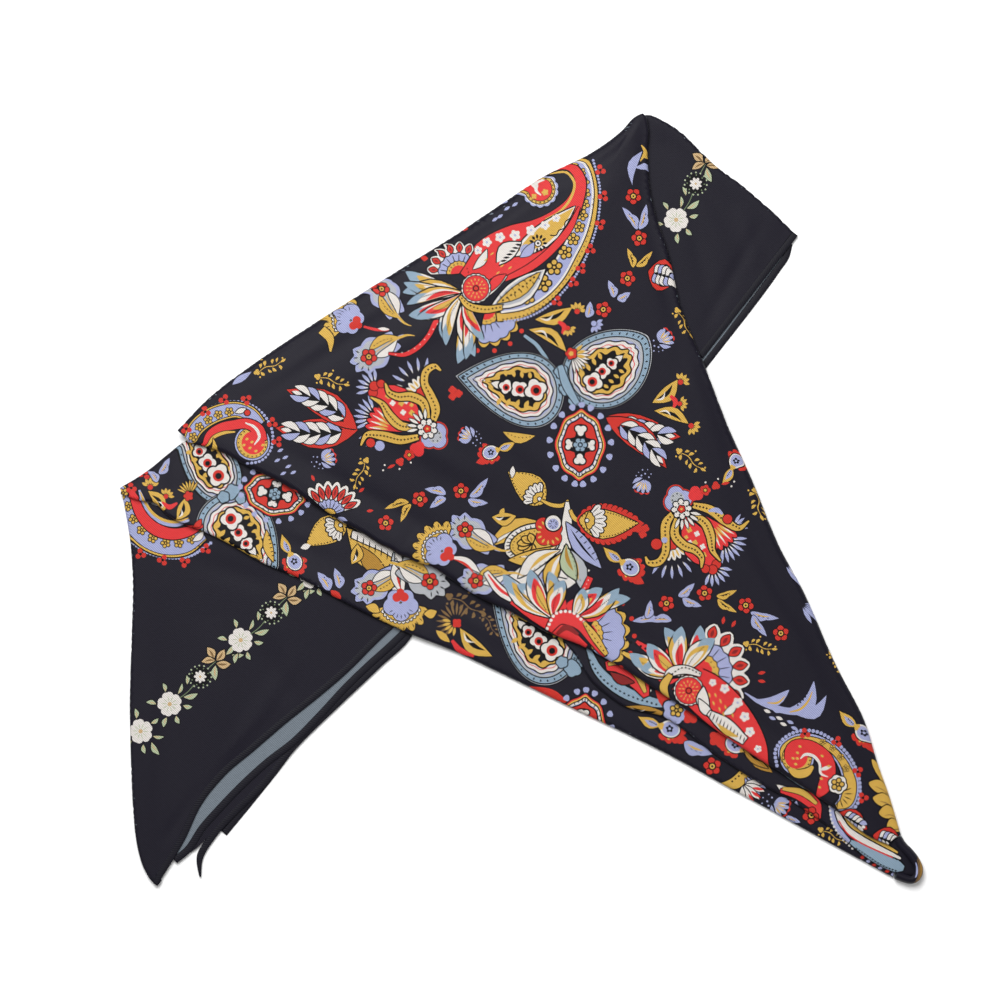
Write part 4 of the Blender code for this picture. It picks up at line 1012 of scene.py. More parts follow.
def fan_flower(pen: Pen, x: float, y: float, turn: float, far: float, drops: bool) -> None:
    """A fan of rings: gold, lavender panes and a scalloped rim with a red drop in each scallop."""
    p = pen.at(x, y, turn)
    lobes = 6
    p.fan(0, 0, 0, far, -62, 62, lobes, Tint.WHITE if drops else Tint.GOLD, 0.14, line=0.7)
    if drops:
        p.rays(0, 0, far * 0.66, far * 0.95, -52, 52, lobes, far * 0.17, Tint.RED, line=0.5)
        p.rays(0, 0, far * 0.72, far * 0.88, -52, 52, lobes, far * 0.07, Tint.DEEP_RED)
    p.fan(0, 0, 0, far * 0.64 if drops else far * 0.88, -62, 62, lobes, Tint.LAVENDER, 0.06, line=0.6)
    p.rays(0, 0, far * 0.34, far * 0.62, -50, 50, lobes, 1.0, Tint.BLACK)
    p.fan(0, 0, 0, far * 0.38, -64, 64, lobes, Tint.GOLD, 0.08, line=0.5)
    p.ring(0, 0, far * 0.3, 16, 0.7, Tint.BLACK)
    p.fan(0, 0, 0, far * 0.26, -66, 66, 5, Tint.CORAL, 0.08)


def boss(pen: Pen, x: float, y: float, r: float) -> None:
    """A red boss with two rounds of gold ticks in a narrow pebbled rim."""
    pen.lobed(x, y, r + 1.5, 16, Tint.WHITE, 0.06, line=0.6)
    pen.ring(x, y, r + 0.5, 20, 0.5, Tint.BLACK)
    pen.disc(x, y, r - 0.4, Tint.CORAL, line=0.4)
    for radius, count in ((r * 0.68, 15), (r * 0.42, 9)):
        for angle in np.linspace(0, 2 * math.pi, count, endpoint=False):
            c, s = math.cos(angle), math.sin(angle)
            pen.leaf(x + (radius - 1.5) * c, y + (radius - 1.5) * s, x + (radius + 1.5) * c,
                     y + (radius + 1.5) * s, 1.2, Tint.GOLD)
    pen.disc(x, y, r * 0.17, Tint.RED, line=0.6)


def black_gold(pen: Pen, x: float, y: float, r: float, tint: Tint = Tint.GOLD) -> None:
    """A flower of five gold petals, each in a dark outline, as on a paisley's band."""
    p = pen.at(x, y, turn=(x * 13 + y) % 72)
    for reach, size, coat in ((0.62, 0.44, Tint.BLACK), (0.6, 0.29, tint)):
        for angle in np.radians(range(0, 360, 72)):
            p.disc(r * reach * math.cos(angle), r * reach * math.sin(angle), r * size, coat)
    p.disc(0, 0, r * 0.34, Tint.BLACK)
    p.disc(0, 0, r * 0.17, tint)


def floret(pen: Pen, x: float, y: float, turn: float, r: float = 7.0, tint: Tint = Tint.GOLD) -> None:
    """A tiny spray: a red bead with a fan of short petals."""
    p = pen.at(x, y, turn)
    p.rays(-r * 0.4, 0, r * 0.35, r * 1.2, -62, 62, 5, r * 0.42, tint)
    p.disc(-r * 0.4, 0, r * 0.34, Tint.RED if tint is Tint.GOLD else tint)


def comma(pen: Pen, x: float, y: float, turn: float, size: float = 1.0, flip: int = 1) -> None:
    """A comma paisley: a coral head that sweeps round into a tail, in gold and scalloped lavender."""
    p = pen.at(x, y, turn, size, flip)
    path = [(-6, 12), (-14, 4), (-13, -10), (-4, -22), (8, -29), (24, -32), (42, -29), (57, -20), (65, -7),
            (63, 4)]
    p.line(path, [9, 13, 13, 12, 11, 11, 13, 17, 17, 7], Tint.LAVENDER, line=0.8)
    p.dots([(-8, 20), (-20, 11), (-23, -4), (-18, -20), (-6, -32), (10, -38), (28, -40), (48, -36), (64, -27),
            (75, -12), (73, 6)], 44, 1.9, Tint.LAVENDER)
    p.disc(0, 0, 17, Tint.LAVENDER, line=0.6)
    p.line(path, [5, 8, 8, 6, 6, 6, 8, 12, 12, 4], Tint.GOLD, line=0.5)
    p.disc(0, 0, 14.6, Tint.GOLD, line=0.4)
    p.ring(0, 0, 13.3, 20, 0.8, Tint.BLACK)
    p.line([(2, 12), (11, 11), (17, 3), (17, -6)], [5, 8, 8, 3], Tint.GOLD, line=0.5)
    p.line([(0, 2), (-5, -4), (-1, -13), (9, -19), (23, -20), (34, -11), (40, 1), (42, 12)],
           [22, 22, 17, 14, 13, 14, 12, 3], Tint.CORAL, line=0.5)
    p.disc(-1, 0, 11.4, Tint.CORAL)
    p.line([(3, -2), (3, -8), (9, -13), (19, -13), (28, -7), (35, -10)], [1.2, 2.8, 3, 2.6, 2.4, 0.8],
           Tint.WHITE)
    p.leaf(24, -8, 30, -20, 4, Tint.WHITE)
    bits(p, ((-5, -3), (-4, 4), (2, 6), (-8, -9), (-1, 1), (30, -3), (35, 4), (14, -19), (26, -17)),
         3.4, -1.6, 2.6, Tint.GOLD, 0.8)
    each(black_gold, p, (6, -30, 3.4), (17, -33, 3.4), (29, -33, 3.6), (41, -29, 3.8))
    p.lobed(47, -12, 9.5, 6, Tint.WHITE, 0.14, line=0.6)
    black_gold(p, 47, -12, 7)
    p.rays(54, -6, 6, 15, -70, 70, 7, 1.1, Tint.BLACK)


# ---------------------------------------------------------------------------- what lies where
def garland_beads(pen: Pen, blooms: tuple, leaves: tuple, golds: tuple) -> None:
    """Red blossoms with pairs of lavender and gold leaves between them."""
    for x0, y0, x1, y1 in leaves:
        plain_leaf(pen, x0, y0, x1, y1, 8.5)
    for x0, y0, x1, y1 in golds:
        plain_leaf(pen, x0, y0, x1, y1, 7.0, Tint.GOLD, Tint.BLACK)
    for x, y in blooms:
        blossom(pen, x, y)


def large_paisley(pen: Pen) -> None:
    """The tall paisley at the long fold: a red body in a band of gold flowers, a curled end and a
    crown of petals and fans at its foot."""
    pen.line([(452, 307), (437, 321), (429, 336), (418, 348), (405, 355), (389, 354)],
             [5, 5, 4.6, 4.6, 4, 2], Tint.CORAL, line=0.5)
    pen.dots([(450, 309), (429, 335), (418, 347), (396, 355)], 12, 0.6, Tint.WHITE)
    fan_flower(pen, 486, 311, 42, 37, False)
    arc_beads(pen, 486, 311, 41, -18, 24)
    edge = [(497, 318), (520, 314), (541, 303), (560, 285), (576, 262), (588, 236), (594, 210), (594, 186),
            (588, 164), (578, 150)]
    pen.line(edge, [8, 9, 9, 8, 7, 6, 5, 5, 4, 3], Tint.GOLD, line=0.8)
    pen.dots([(505, 322), (524, 319), (546, 308), (565, 290), (581, 267), (593, 239), (599, 211), (599, 185),
              (593, 161)], 64, 1.4, Tint.LAVENDER)
    band = [(500, 308), (522, 303), (540, 292), (555, 276), (568, 254), (579, 232), (585, 210), (586, 187),
            (580, 168), (570, 158)]
    pen.line(band, [12, 14, 16, 17, 16, 15, 14, 14, 13, 8], Tint.WHITE, line=0.6)
    pen.line(band, [8, 10, 12, 13, 12, 11, 10, 10, 9, 5], Tint.LAVENDER)
    pen.dots([(503, 320), (524, 316), (545, 305), (564, 287), (580, 264), (592, 237), (598, 210), (598, 186)],
             44, 0.9, Tint.BLACK)
    each(black_gold, pen, (528, 298, 7.4), (543, 284, 9), (554, 268, 8.4), (565, 253, 7.4), (573, 240, 6.6),
         (579, 228, 6), (582, 216, 6), (584, 205, 5.8), (585, 194, 5.6), (584, 183, 5.4), (581, 173, 5),
         (575, 164, 4.4))
    pen.dots([(508, 314), (530, 310), (549, 299), (566, 280), (580, 256), (590, 228), (593, 200)], 30, 0.8,
             Tint.BROWN)
    pen.line([(474, 284), (492, 262), (515, 248), (538, 238), (560, 222), (576, 200), (580, 180), (569, 166),
              (552, 166), (540, 172)], [34, 46, 44, 36, 26, 15, 10, 9, 9, 6], Tint.CORAL, line=0.7)
    pen.line([(545, 220), (560, 212), (571, 198), (574, 183), (566, 173), (554, 174)],
             [1, 2.2, 2.6, 2.6, 2.4, 1], Tint.GOLD)
    pen.leaf(512, 257, 575, 207, 22, Tint.WHITE, 0.04, 0.9, line=0.7)
    pen.leaf(519, 252, 574, 208, 17, Tint.GOLD, 0.04, 0.8)
    pen.disc(526, 251, 6, Tint.LAVENDER)
    pen.line([(550, 236), (556, 236), (559, 231), (564, 229), (565, 223), (570, 219)], 1.2, Tint.BLACK)
    pen.dots([(560, 238), (569, 226), (573, 214)], 5, 1.3, Tint.BLACK)
    pen.rays(538, 244, 4.4, 9.4, 0, 327, 11, 2.6, Tint.BLACK)
    pen.disc(538, 244, 3.8, Tint.BLACK)
    pen.disc(538, 244, 2.8, Tint.WHITE)
    pen.disc(538, 244, 1.3, Tint.BLACK)
    pen.line([(505, 280), (530, 268), (553, 249), (570, 228), (579, 208)], [4, 7, 7, 6, 2], Tint.CORAL,
             line=0.5)
    pen.leaf(497, 266, 521, 243, 17, Tint.WHITE, -0.1, line=0.7)
    for k in range(6):
        pen.leaf(500 + 3 * k, 262 - 3.4 * k, 507 + 3 * k, 261 - 3 * k, 2.2, Tint.BLACK)
    pen.leaf(520, 258, 534, 243, 9, Tint.LAVENDER, 0.1, line=0.4)
    pen.leaf(473, 270, 487, 250, 8, Tint.WHITE, 0.1, line=0.5)
    each(white_bud, pen, (478, 251, 4.5), (487, 243, 5), (500, 238, 5.2), (515, 236, 5.6), (531, 231, 5.4),
         (545, 226, 4.8), (556, 219, 4.2))
    bits(pen, ((484, 262), (490, 256), (496, 275), (487, 270), (500, 268), (481, 278), (508, 270)),
         4, -3, 1.5, Tint.GOLD)
    pen.leaf(490, 309, 545, 270, 24, Tint.WHITE, 0.05, line=0.7)
    pen.leaf(493, 307, 543, 271, 19, Tint.GREY, 0.05, 1.0)
    pen.leaf(497, 304, 540, 273, 12, Tint.GOLD, 0.05, line=0.5)
    pen.dots([(503, 301), (518, 291), (534, 278)], 9, 1.1, Tint.BLACK)
    for k in range(7):
        pen.leaf(499 + 6 * k, 295 - 3.6 * k, 502 + 6 * k, 300 - 4.4 * k, 1.1, Tint.BLACK)
        pen.leaf(504 + 6 * k, 307 - 4.4 * k, 502 + 6 * k, 302 - 4.0 * k, 1.1, Tint.BLACK)
    fan_flower(pen, 459, 274, -120, 32, True)
    bits(pen, ((468, 231), (437, 245), (424, 262), (449, 236)), 5, -7, 3.4, Tint.RED)
    each(lotus, pen, (466, 295, [(406, 272), (403, 293), (409, 316), (442, 338), (458, 364), (475, 357)], 17),
         (464, 293, [(404, 283), (407, 305), (417, 318), (446, 346), (466, 360), (484, 341)], 13))
    pen.line([(460, 297), (468, 306), (484, 310), (502, 308)], [3, 6, 7, 5], Tint.GOLD, line=0.6)
    pen.dots([(462, 299), (470, 306), (484, 310), (500, 308)], 12, 0.9, Tint.BLACK)
    pen.leaf(470, 282, 500, 262, 12, Tint.CORAL, 0.1)
    pen.leaf(484, 300, 507, 277, 11, Tint.WHITE, -0.12, line=0.6)
    pen.leaf(489, 293, 506, 275, 9, Tint.CORAL, -0.1, line=0.5)
    boss(pen, 476, 289, 13)
    pen.lobed(540, 190, 18.5, 14, Tint.LAVENDER, 0.09, line=0.7)
    pen.lobed(540, 190, 16.5, 14, Tint.WHITE, 0.06)
    pen.disc(540, 190, 14.6, Tint.GOLD, line=0.5)
    pen.ring(540, 190, 13.4, 20, 0.8, Tint.BLACK)
    pen.disc(540, 190, 11.6, Tint.CORAL, line=0.4)
    pen.line([(546, 180), (538, 184), (536, 191), (541, 196)], [1.4, 3, 3, 1.2], Tint.WHITE)
    pen.lobed(545, 193, 3.6, 5, Tint.GOLD, 0.35)
    pen.lobed(534, 197, 3.0, 4, Tint.GOLD, 0.35)
    each(trio, pen, (600, 171, 0), (603, 197, 30), (600, 225, 60), (590, 250, 10), (581, 269, 40),
         (573, 283, 0), (557, 302, 20))


def fold_corner(pen: Pen) -> None:
    """What lies left of the large paisley, along the long fold."""
    bell(pen, 350, 320, 32, 0.9, stalk=False)
    pen.line([(364, 327), (376, 330), (389, 331)], [2.2, 2.8, 1.2], Tint.CORAL)
    pen.leaf(378, 329, 390, 330, 3.4, Tint.WHITE)
    pen.line([(322, 330), (330, 338), (331, 352)], [9, 8, 1.5], Tint.GOLD, line=0.5)
    each(star_leaf, pen, (383, 291, 60, 1.0), (371, 356, -33, 1.06, -1))
    each(sprig, pen, (332, 381, 20), (270, 367, -20, 0.95))
    bits(pen, ((507, 203), (504, 211), (497, 219), (512, 207), (492, 222)), 6, -4, 3, Tint.LAVENDER)
    pen.leaf(233, 385, 252, 372, 6, Tint.LAVENDER)


def middle_field(pen: Pen) -> None:
    """The field of the main panel: bell flowers, hearts, the medallion, leaves and garlands."""
    garland_beads(pen, ((633, 197), (639, 239), (627, 279), (603, 310)),
                  ((637, 230, 622, 208), (639, 230, 646, 205), (614, 298, 608, 281), (617, 300, 630, 293)),
                  ((633, 268, 627, 249), (636, 267, 652, 252)))
    pen.leaf(632, 186, 642, 152, 9, Tint.LAVENDER, -0.16, 1.2)
    pen.leaf(634, 168, 650, 160, 6, Tint.LAVENDER, 0.2)
    pen.line([(641, 146), (645, 152), (640, 162)], [1, 4, 1], Tint.GOLD)
    tulip(pen, 427.5, 429, -142, 1.0)
    red_spray(pen, 418, 449, 128)
    pen.disc(380, 446, 5, Tint.LAVENDER)
    pen.disc(371, 443, 4.4, Tint.RED, line=0.5)
    each(feather, pen, (358, 430, 276, 428, 30, -0.06), (357, 429, 287, 390, 27, 0.08),
         (607, 417, 680, 437, 29, 0.06), (606, 418, 666, 468, 26, -0.08))
    pen.line([(524, 336), (535, 344), (547, 360)], [3, 3.6, 3.6], Tint.TEAL, line=0.4)
    heart(pen, 459, 377, 6, 1.02)
    heart(pen, 645, 338, 136, 0.9, sharp=0.35)
    knots(pen, (561, 372, 7), (566, 389, 7), (574, 401, 6))
    pen.line([(560, 366), (566, 385), (577, 404)], [5, 8, 5], Tint.TEAL, line=0.5)
    pen.rays(571, 355, 5, 19, -10, 78, 8, 2.4, Tint.WHITE, line=0.4)
    pen.rays(571, 355, 5, 15, -40, 10, 3, 3.4, Tint.GOLD)
    pen.lobed(571, 354, 6, 5, Tint.RED, 0.25, line=0.5)
    pen.lobed(571, 354, 2.6, 5, Tint.GOLD, 0.3)
    slit_leaf(pen, 535, 320, 572, 308, 14)
    slit_leaf(pen, 529, 330, 566, 352, 13, bend=-0.14)
    pen.line([(558, 322), (564, 327), (562, 334)], [3, 5, 2], Tint.CORAL)
    each(floret, pen, (569, 331, 60, 7), (578, 309, -70, 8))
    plain_leaf(pen, 587, 318, 590, 302, 9)
    floret(pen, 596, 326, 40, 8, Tint.LAVENDER)
    almond(pen, 580, 445, 92, 0.98)
    each(tuft, pen, (468, 436, -150, 0.9), (327, 459, -12, 0.95), (642, 484, 110, 0.95), (663, 340, -30, 1.0))
    each(sprig, pen, (361, 473, 118, 0.95), (690, 460, 42, 1.0), (683, 322, 65, 0.9), (759, 646, 15, 0.95))
    feather(pen, 648, 272, 678, 280, 32, 0.0)
    eye_drop(pen, 492, 452, 160, 0.78, -1)
    pen.leaf(503, 432, 535, 436, 10, Tint.GOLD, 0.14, line=0.5)
    pen.dots([(508, 434), (520, 438), (530, 437)], 7, 0.7, Tint.BLACK)
    slit_leaf(pen, 652, 403, 677, 380, 14)
    slit_leaf(pen, 654, 411, 688, 424, 12, bend=-0.12)
    each(floret, pen, (682, 380, -50, 8), (682, 404, 0, 7), (693, 428, 40, 8))
    pen.line([(670, 396), (675, 402), (673, 408)], [3, 5, 2], Tint.CORAL)
    garland_beads(pen, ((461, 491), (420, 499), (386, 523)),
                  ((446, 494, 425, 489), (446, 498, 430, 508), (470, 497, 488, 478), (468, 500, 488, 503)),
                  ((409, 502, 385, 509), (411, 504, 401, 522)))
    eye_drop(pen, 735, 462, -62, 0.8)
    sprig(pen, 757, 502, 80, 1.0)
    pen.rays(780, 560, 8, 30, -10, 50, 5, 5, Tint.LAVENDER)
    pen.rays(780, 560, 10, 22, 0, 40, 4, 2, Tint.WHITE)
    pen.rays(800, 604, 4, 22, -20, 60, 5, 4, Tint.LAVENDER)
    sprig(pen, 836, 660, 60, 0.8)


def chintz(pen: Pen) -> None:
    """The chintz spray above the crest: gold pods and leaves round a red bud on a pale trunk."""
    pen.leaf(500, 584, 590, 570, 38, Tint.WHITE, 0.0)
    pen.dots([(504, 572), (512, 588), (540, 590), (566, 586)], 22, 1.1, Tint.BLACK)
    pod(pen, 544, 503, 508, 472, 29)
    pen.leaf(512, 478, 513, 466, 5, Tint.WHITE, line=0.4)
    pen.line([(541, 500), (552, 505), (563, 505), (568, 500)], [2, 3.6, 3.4, 1.6], Tint.GOLD, line=0.5)
    pen.line([(567, 502), (567, 516), (566, 534), (563, 554), (558, 576)], [3, 8, 11, 13, 18], Tint.WHITE,
             line=0.7)
    pen.line([(570, 510), (574, 518), (583, 523)], [3, 4, 3], Tint.GOLD, line=0.5)
    pod(pen, 579, 520, 638, 523, 29, frill=True)
    pen.leaf(566, 522, 601, 568, 17, Tint.LAVENDER, 0.04, line=0.7)
    pen.leaf(570, 528, 596, 562, 2.2, Tint.BLACK, 0.04)
    for k in range(6):
        pen.leaf(575 + 4 * k, 533 + 5.4 * k, 579 + 4 * k, 530 + 5.4 * k, 1.2, Tint.BLACK)
    pen.leaf(485, 549, 545, 524, 21, Tint.GOLD, -0.1, 1.3, line=0.7)
    pen.line([(490, 546), (503, 537), (517, 530)], [1.4, 2.6, 1.6], Tint.WHITE, line=0.3)
    q = pen.at(532, 543, -14)
    q.disc(0, 0, 28, Tint.WHITE, 18.5, line=0.8)
    for k in range(30):
        angle = 2 * math.pi * k / 30
        c, s = math.cos(angle), math.sin(angle)
        q.leaf(21.5 * c, 13 * s, 27.4 * c, 18 * s, 1.3, Tint.BLACK)
    q.disc(0, 0, 22, Tint.GOLD, 13.6, line=0.7)
    q.ring(0, 0, 19.6, 24, 0.6, Tint.BLACK, 11.4)
    for k in range(6):
        c, s = compass(95 + 35 * k)
        q.leaf(0, 0, 15 * c, 9.4 * s, 6.4, Tint.GOLD, 0.05, 1.3, line=0.7, blunt=0.8)
        q.leaf(2 * c, s, 11 * c, 7 * s, 2.2, Tint.DARK_GOLD, 0.05, 1.3)
    for k, (x0, y0, x1, y1, tint) in enumerate((
        (556, 546, 508, 560, Tint.GOLD), (560, 550, 518, 578, Tint.WHITE),
        (562, 552, 532, 588, Tint.LAVENDER),
        (563, 552, 548, 592, Tint.GOLD), (564, 546, 583, 592, Tint.GREY),
        (566, 544, 576, 580, Tint.PALE_GREEN),
    )):
        bend, vein = 0.1 if k % 2 else -0.1, (Tint.WHITE, Tint.GOLD, Tint.DARK_GOLD)[k % 3]
        pen.leaf(x0, y0, x1, y1, 15, tint, bend, 1.1, line=0.7)
        pen.leaf(x0, y0, (x0 + 3 * x1) / 4, (y0 + 3 * y1) / 4, 4, vein, bend, 1.1)
        pen.dots([(x0, y0), ((x0 + x1) / 2 + 3, (y0 + y1) / 2), (x1, y1)], 9, 0.7, Tint.BLACK)
    for tint, grow in ((Tint.BLACK, 0.8), (Tint.RED, 0.0)):
        for dx, dy, r in ((-6, -6, 7.4), (6, -3, 7), (-5, 6, 8), (5, 7, 7.4), (0, 0, 9)):
            pen.disc(549 + dx, 531 + dy, r + grow, tint)
    for k in range(9):
        c, s = compass(40 + 28 * k)
        pen.leaf(549 + 8 * c, 532 + 8 * s, 549 + 13 * c, 532 + 13 * s, 2.2, Tint.GOLD)
    pen.disc(553, 523, 7.6, Tint.WHITE, line=0.8)
    pen.disc(553, 524, 5.6, Tint.LAVENDER)
    pen.rays(553, 524, 1.6, 5.2, 0, 330, 8, 0.9, Tint.BLACK)
    slit_leaf(pen, 492, 517, 516, 516, 13)
    pen.leaf(500, 516, 504, 508, 5, Tint.GOLD)
    eye_drop(pen, 628, 566, 34, 0.95)
    each(star_leaf, pen, (467, 531, 32, 1.05), (478, 580, -14, 1.0, -1))
    bell(pen, 441, 550, 34, 0.98)


def crown(pen: Pen, x: float, y: float, tips: list, width: float) -> None:
    """Broad nested petals from a point to each tip, coral between them."""
    for tx, ty in tips:
        pen.leaf(x, y, x + (tx - x) * 0.7, y + (ty - y) * 0.7, width * 1.25, Tint.CORAL)
    lotus(pen, x, y, tips, width)


def red_flowers(pen: Pen) -> None:
    """The two red flowers that sit on the crest and the red paisley body that runs on from the second."""
    pen.line([(590, 577), (583, 592), (572, 610)], [6, 6.4, 6], Tint.CORAL, line=0.5)
    pen.dots([(588, 580), (582, 593), (574, 606)], 8, 0.6, Tint.WHITE)
    fan_flower(pen, 586, 634, 4, 44, False)
    arc_beads(pen, 588, 634, 46, -42, 22)
    pen.line([(486, 572), (500, 590), (520, 602)], [5, 9, 7], Tint.WHITE, line=0.6)
    pen.line([(488, 574), (501, 590), (516, 599)], [1.4, 3, 1.6], Tint.CORAL)
    pen.line([(512, 600), (532, 612), (556, 626), (584, 648)], [7, 13, 16, 10], Tint.CORAL, line=0.6)
    each(crown, pen, (552, 618, [(503, 574), (517, 584), (530, 569), (549, 571), (564, 580)], 17),
         (572, 618, [(630, 598), (619, 588), (602, 588), (583, 588)], 16))
    pen.line([(548, 630), (560, 617), (578, 622), (594, 640), (604, 656)], [7, 13, 12, 10, 5], Tint.CORAL,
             line=0.6)
    pen.dots([(547, 628), (556, 613), (572, 612), (584, 622)], 12, 1.7, Tint.WHITE)
    pen.line([(556, 634), (566, 627), (578, 634)], [3, 6, 3], Tint.DEEP_RED)
    pen.line([(584, 622), (594, 636), (606, 654)], [3, 7, 4], Tint.GOLD, line=0.5)
    pen.dots([(586, 626), (594, 637), (603, 650)], 7, 0.8, Tint.BLACK)
    fan_flower(pen, 699, 672, -20, 51, True)
    for x, y, turn in ((722, 624, -80), (731, 627, -60), (757, 673, -10), (757, 680, 10)):
        c, s = compass(turn)
        pen.leaf(x, y, x + 8 * c, y + 8 * s, 3.6, Tint.RED)
    pen.line([(636, 641), (652, 652), (668, 662)], [3, 7, 4], Tint.CORAL, line=0.5)
    pen.line([(622, 652), (645, 664), (668, 684)], [3, 8, 6], Tint.GOLD, line=0.5)
    pen.dots([(626, 640), (645, 648), (662, 660)], 9, 1.3, Tint.BLACK)
    pen.line([(680, 676), (706, 694), (732, 720), (752, 746), (764, 774)], [30, 42, 40, 28, 6], Tint.CORAL,
             line=0.7)
    crown(pen, 681, 676, [(629, 653), (640, 668), (647, 643), (664, 627), (681, 626), (700, 625), (714, 638)],
          18)
    pen.line([(664, 680), (670, 672), (684, 669), (700, 674)], [3, 8, 8, 4], Tint.WHITE, line=0.6)
    pen.dots([(666, 678), (683, 667), (699, 673)], 11, 1.0, Tint.BLACK)
    pen.line([(670, 674), (663, 686), (666, 698)], [5, 8, 5], Tint.GOLD, line=0.6)
    boss(pen, 688, 690, 13.4)
    pen.leaf(703, 686, 708, 712, 12, Tint.WHITE, 0.14, line=0.7)
    pen.leaf(698, 698, 714, 716, 9, Tint.WHITE, 0.1, line=0.6)
    pen.line([(708, 712), (724, 724), (744, 740)], [5, 14, 8], Tint.WHITE, line=0.7)
    for k in range(11):
        pen.leaf(708 + 3.4 * k, 718 + 2.4 * k, 711 + 3.3 * k, 710 + 2.6 * k, 1.2, Tint.BLACK)
    pen.leaf(716, 722, 738, 736, 6, Tint.GOLD, 0.1)
    pen.leaf(722, 714, 736, 702, 7, Tint.WHITE, 0.1, line=0.5)
    each(white_bud, pen, (737, 702, 5.5), (724, 688, 5), (744, 716, 5.2), (749, 731, 5.2), (757, 748, 4),
         (712, 682, 4))
    bits(pen, ((714, 692), (719, 698), (724, 704), (718, 706), (712, 700), (722, 711), (731, 712),
               (708, 692)), 1.6, 5, 1.8, Tint.GOLD)


def lower_field(pen: Pen) -> None:
    """The main panel's right-hand end: the second bell flower, a garland, a scroll and a curl."""
    tulip(pen, 681, 509, 62, 1.0, 1)
    red_spray(pen, 695, 494, -38)
    pen.disc(656, 544, 5.4, Tint.RED, line=0.5)
    pen.disc(664, 540, 3, Tint.LAVENDER)
    pen.disc(727, 519, 4.6, Tint.RED, line=0.5)
    pen.line([(708, 511), (716, 510), (722, 514)], [2, 5, 2], Tint.LAVENDER)
    garland_beads(pen, ((666, 603), (704, 593), (745, 605), (780, 633)),
                  ((657, 619, 632, 621), (646, 618, 650, 600), (678, 596, 694, 583), (682, 598, 701, 606),
                   (750, 612, 778, 618), (752, 615, 766, 636), (671, 620, 646, 620)),
                  ((716, 596, 736, 590), (717, 599, 736, 612)))
    scroll_leaf(pen, 744, 692, 4, 0.96)
    for x, y in ((763, 709), (768, 716), (772, 709), (779, 722), (775, 716), (790, 726), (786, 720)):
        pen.leaf(x, y, x + 7, y + 3, 3.4, Tint.WHITE if x % 2 else Tint.LAVENDER)
    eye_drop(pen, 862, 731, 38, 0.95)
    comma(pen, 796, 757, 47.5, 1.0)
    each(trio, pen, (804, 733, 0), (836, 741, 30), (857, 771, 60), (862, 797, 100))
    for x, y, tip_x, tip_y in ((900, 800, 871, 758), (898, 796, 868, 782), (900, 806, 872, 797),
                               (902, 812, 878, 812), (905, 820, 886, 828)):
        pen.leaf(x, y, tip_x, tip_y, 14, Tint.GOLD, 0.05, 1.3, line=0.6, blunt=0.7)
        pen.leaf(x, y, tip_x + 5, tip_y + 3, 1.2, Tint.BROWN)
    each(feather, pen, (838, 812, 866, 828, 22, 0.0), (872, 834, 902, 846, 26, 0.0))
    shell(pen, 330, 515, 14, 1.0)
    pen.rays(335, 516, 4, 14, 20, 100, 4, 4, Tint.LAVENDER)
    bits(pen, ((278, 452), (283, 459), (275, 462), (286, 468), (281, 475), (291, 474)),
         6, -3, 3, Tint.LAVENDER)


def nose_curl(pen: Pen) -> None:
    """The small curl at the panel's left nose: a round head from which a flowered arm sweeps back."""
    pen.dots([(186, 437), (194, 421), (207, 410), (222, 404), (238, 402), (253, 406), (266, 417), (273, 432),
              (272, 448), (263, 460), (249, 464)], 44, 1.6, Tint.LAVENDER)
    arm = [(190, 442), (197, 428), (209, 418), (223, 412), (238, 410), (251, 415), (261, 425)]
    pen.line(arm, [12, 15, 16, 16, 15, 15, 12], Tint.GOLD, line=0.7)
    pen.line(arm, [9, 11, 12, 12, 11, 11, 9], Tint.LAVENDER, line=0.4)
    for x, y in ((194, 437), (200, 427), (209, 420), (219, 415), (230, 412)):
        black_gold(pen, x, y, 4.8)
    pen.leaf(236, 413, 247, 409, 5, Tint.WHITE, line=0.5)
    pen.disc(248, 413, 2.8, Tint.RED, line=0.5)
    pen.disc(253, 443, 17.5, Tint.LAVENDER, line=0.6)
    pen.disc(253, 443, 15.2, Tint.GOLD, line=0.4)
    pen.ring(253, 443, 13.8, 20, 0.8, Tint.BLACK)
    pen.line([(205, 446), (211, 435), (222, 428), (235, 425), (248, 424), (259, 430), (264, 441)],
             [4, 8, 9, 9, 10, 11, 8], Tint.CORAL, line=0.6)
    pen.disc(254, 443, 11.6, Tint.CORAL)
    pen.line([(208, 448), (214, 438), (225, 433), (236, 432)], [2, 3, 3, 1.4], Tint.GOLD, line=0.4)
    pen.line([(246, 423), (256, 428), (260, 437), (255, 445)], [1.2, 3, 2.8, 1], Tint.WHITE)
    bits(pen, ((246, 440), (249, 449), (255, 452), (262, 446), (243, 446), (251, 443)),
         3.4, -1.6, 2.6, Tint.GOLD, 0.8)
    each(trio, pen, (206, 412, 0), (225, 400, 30), (247, 400, 60), (273, 423, 10), (278, 442, 40),
         (187, 429, 0))
    pen.leaf(214, 438, 226, 462, 5, Tint.GOLD, 0.1, line=0.4)


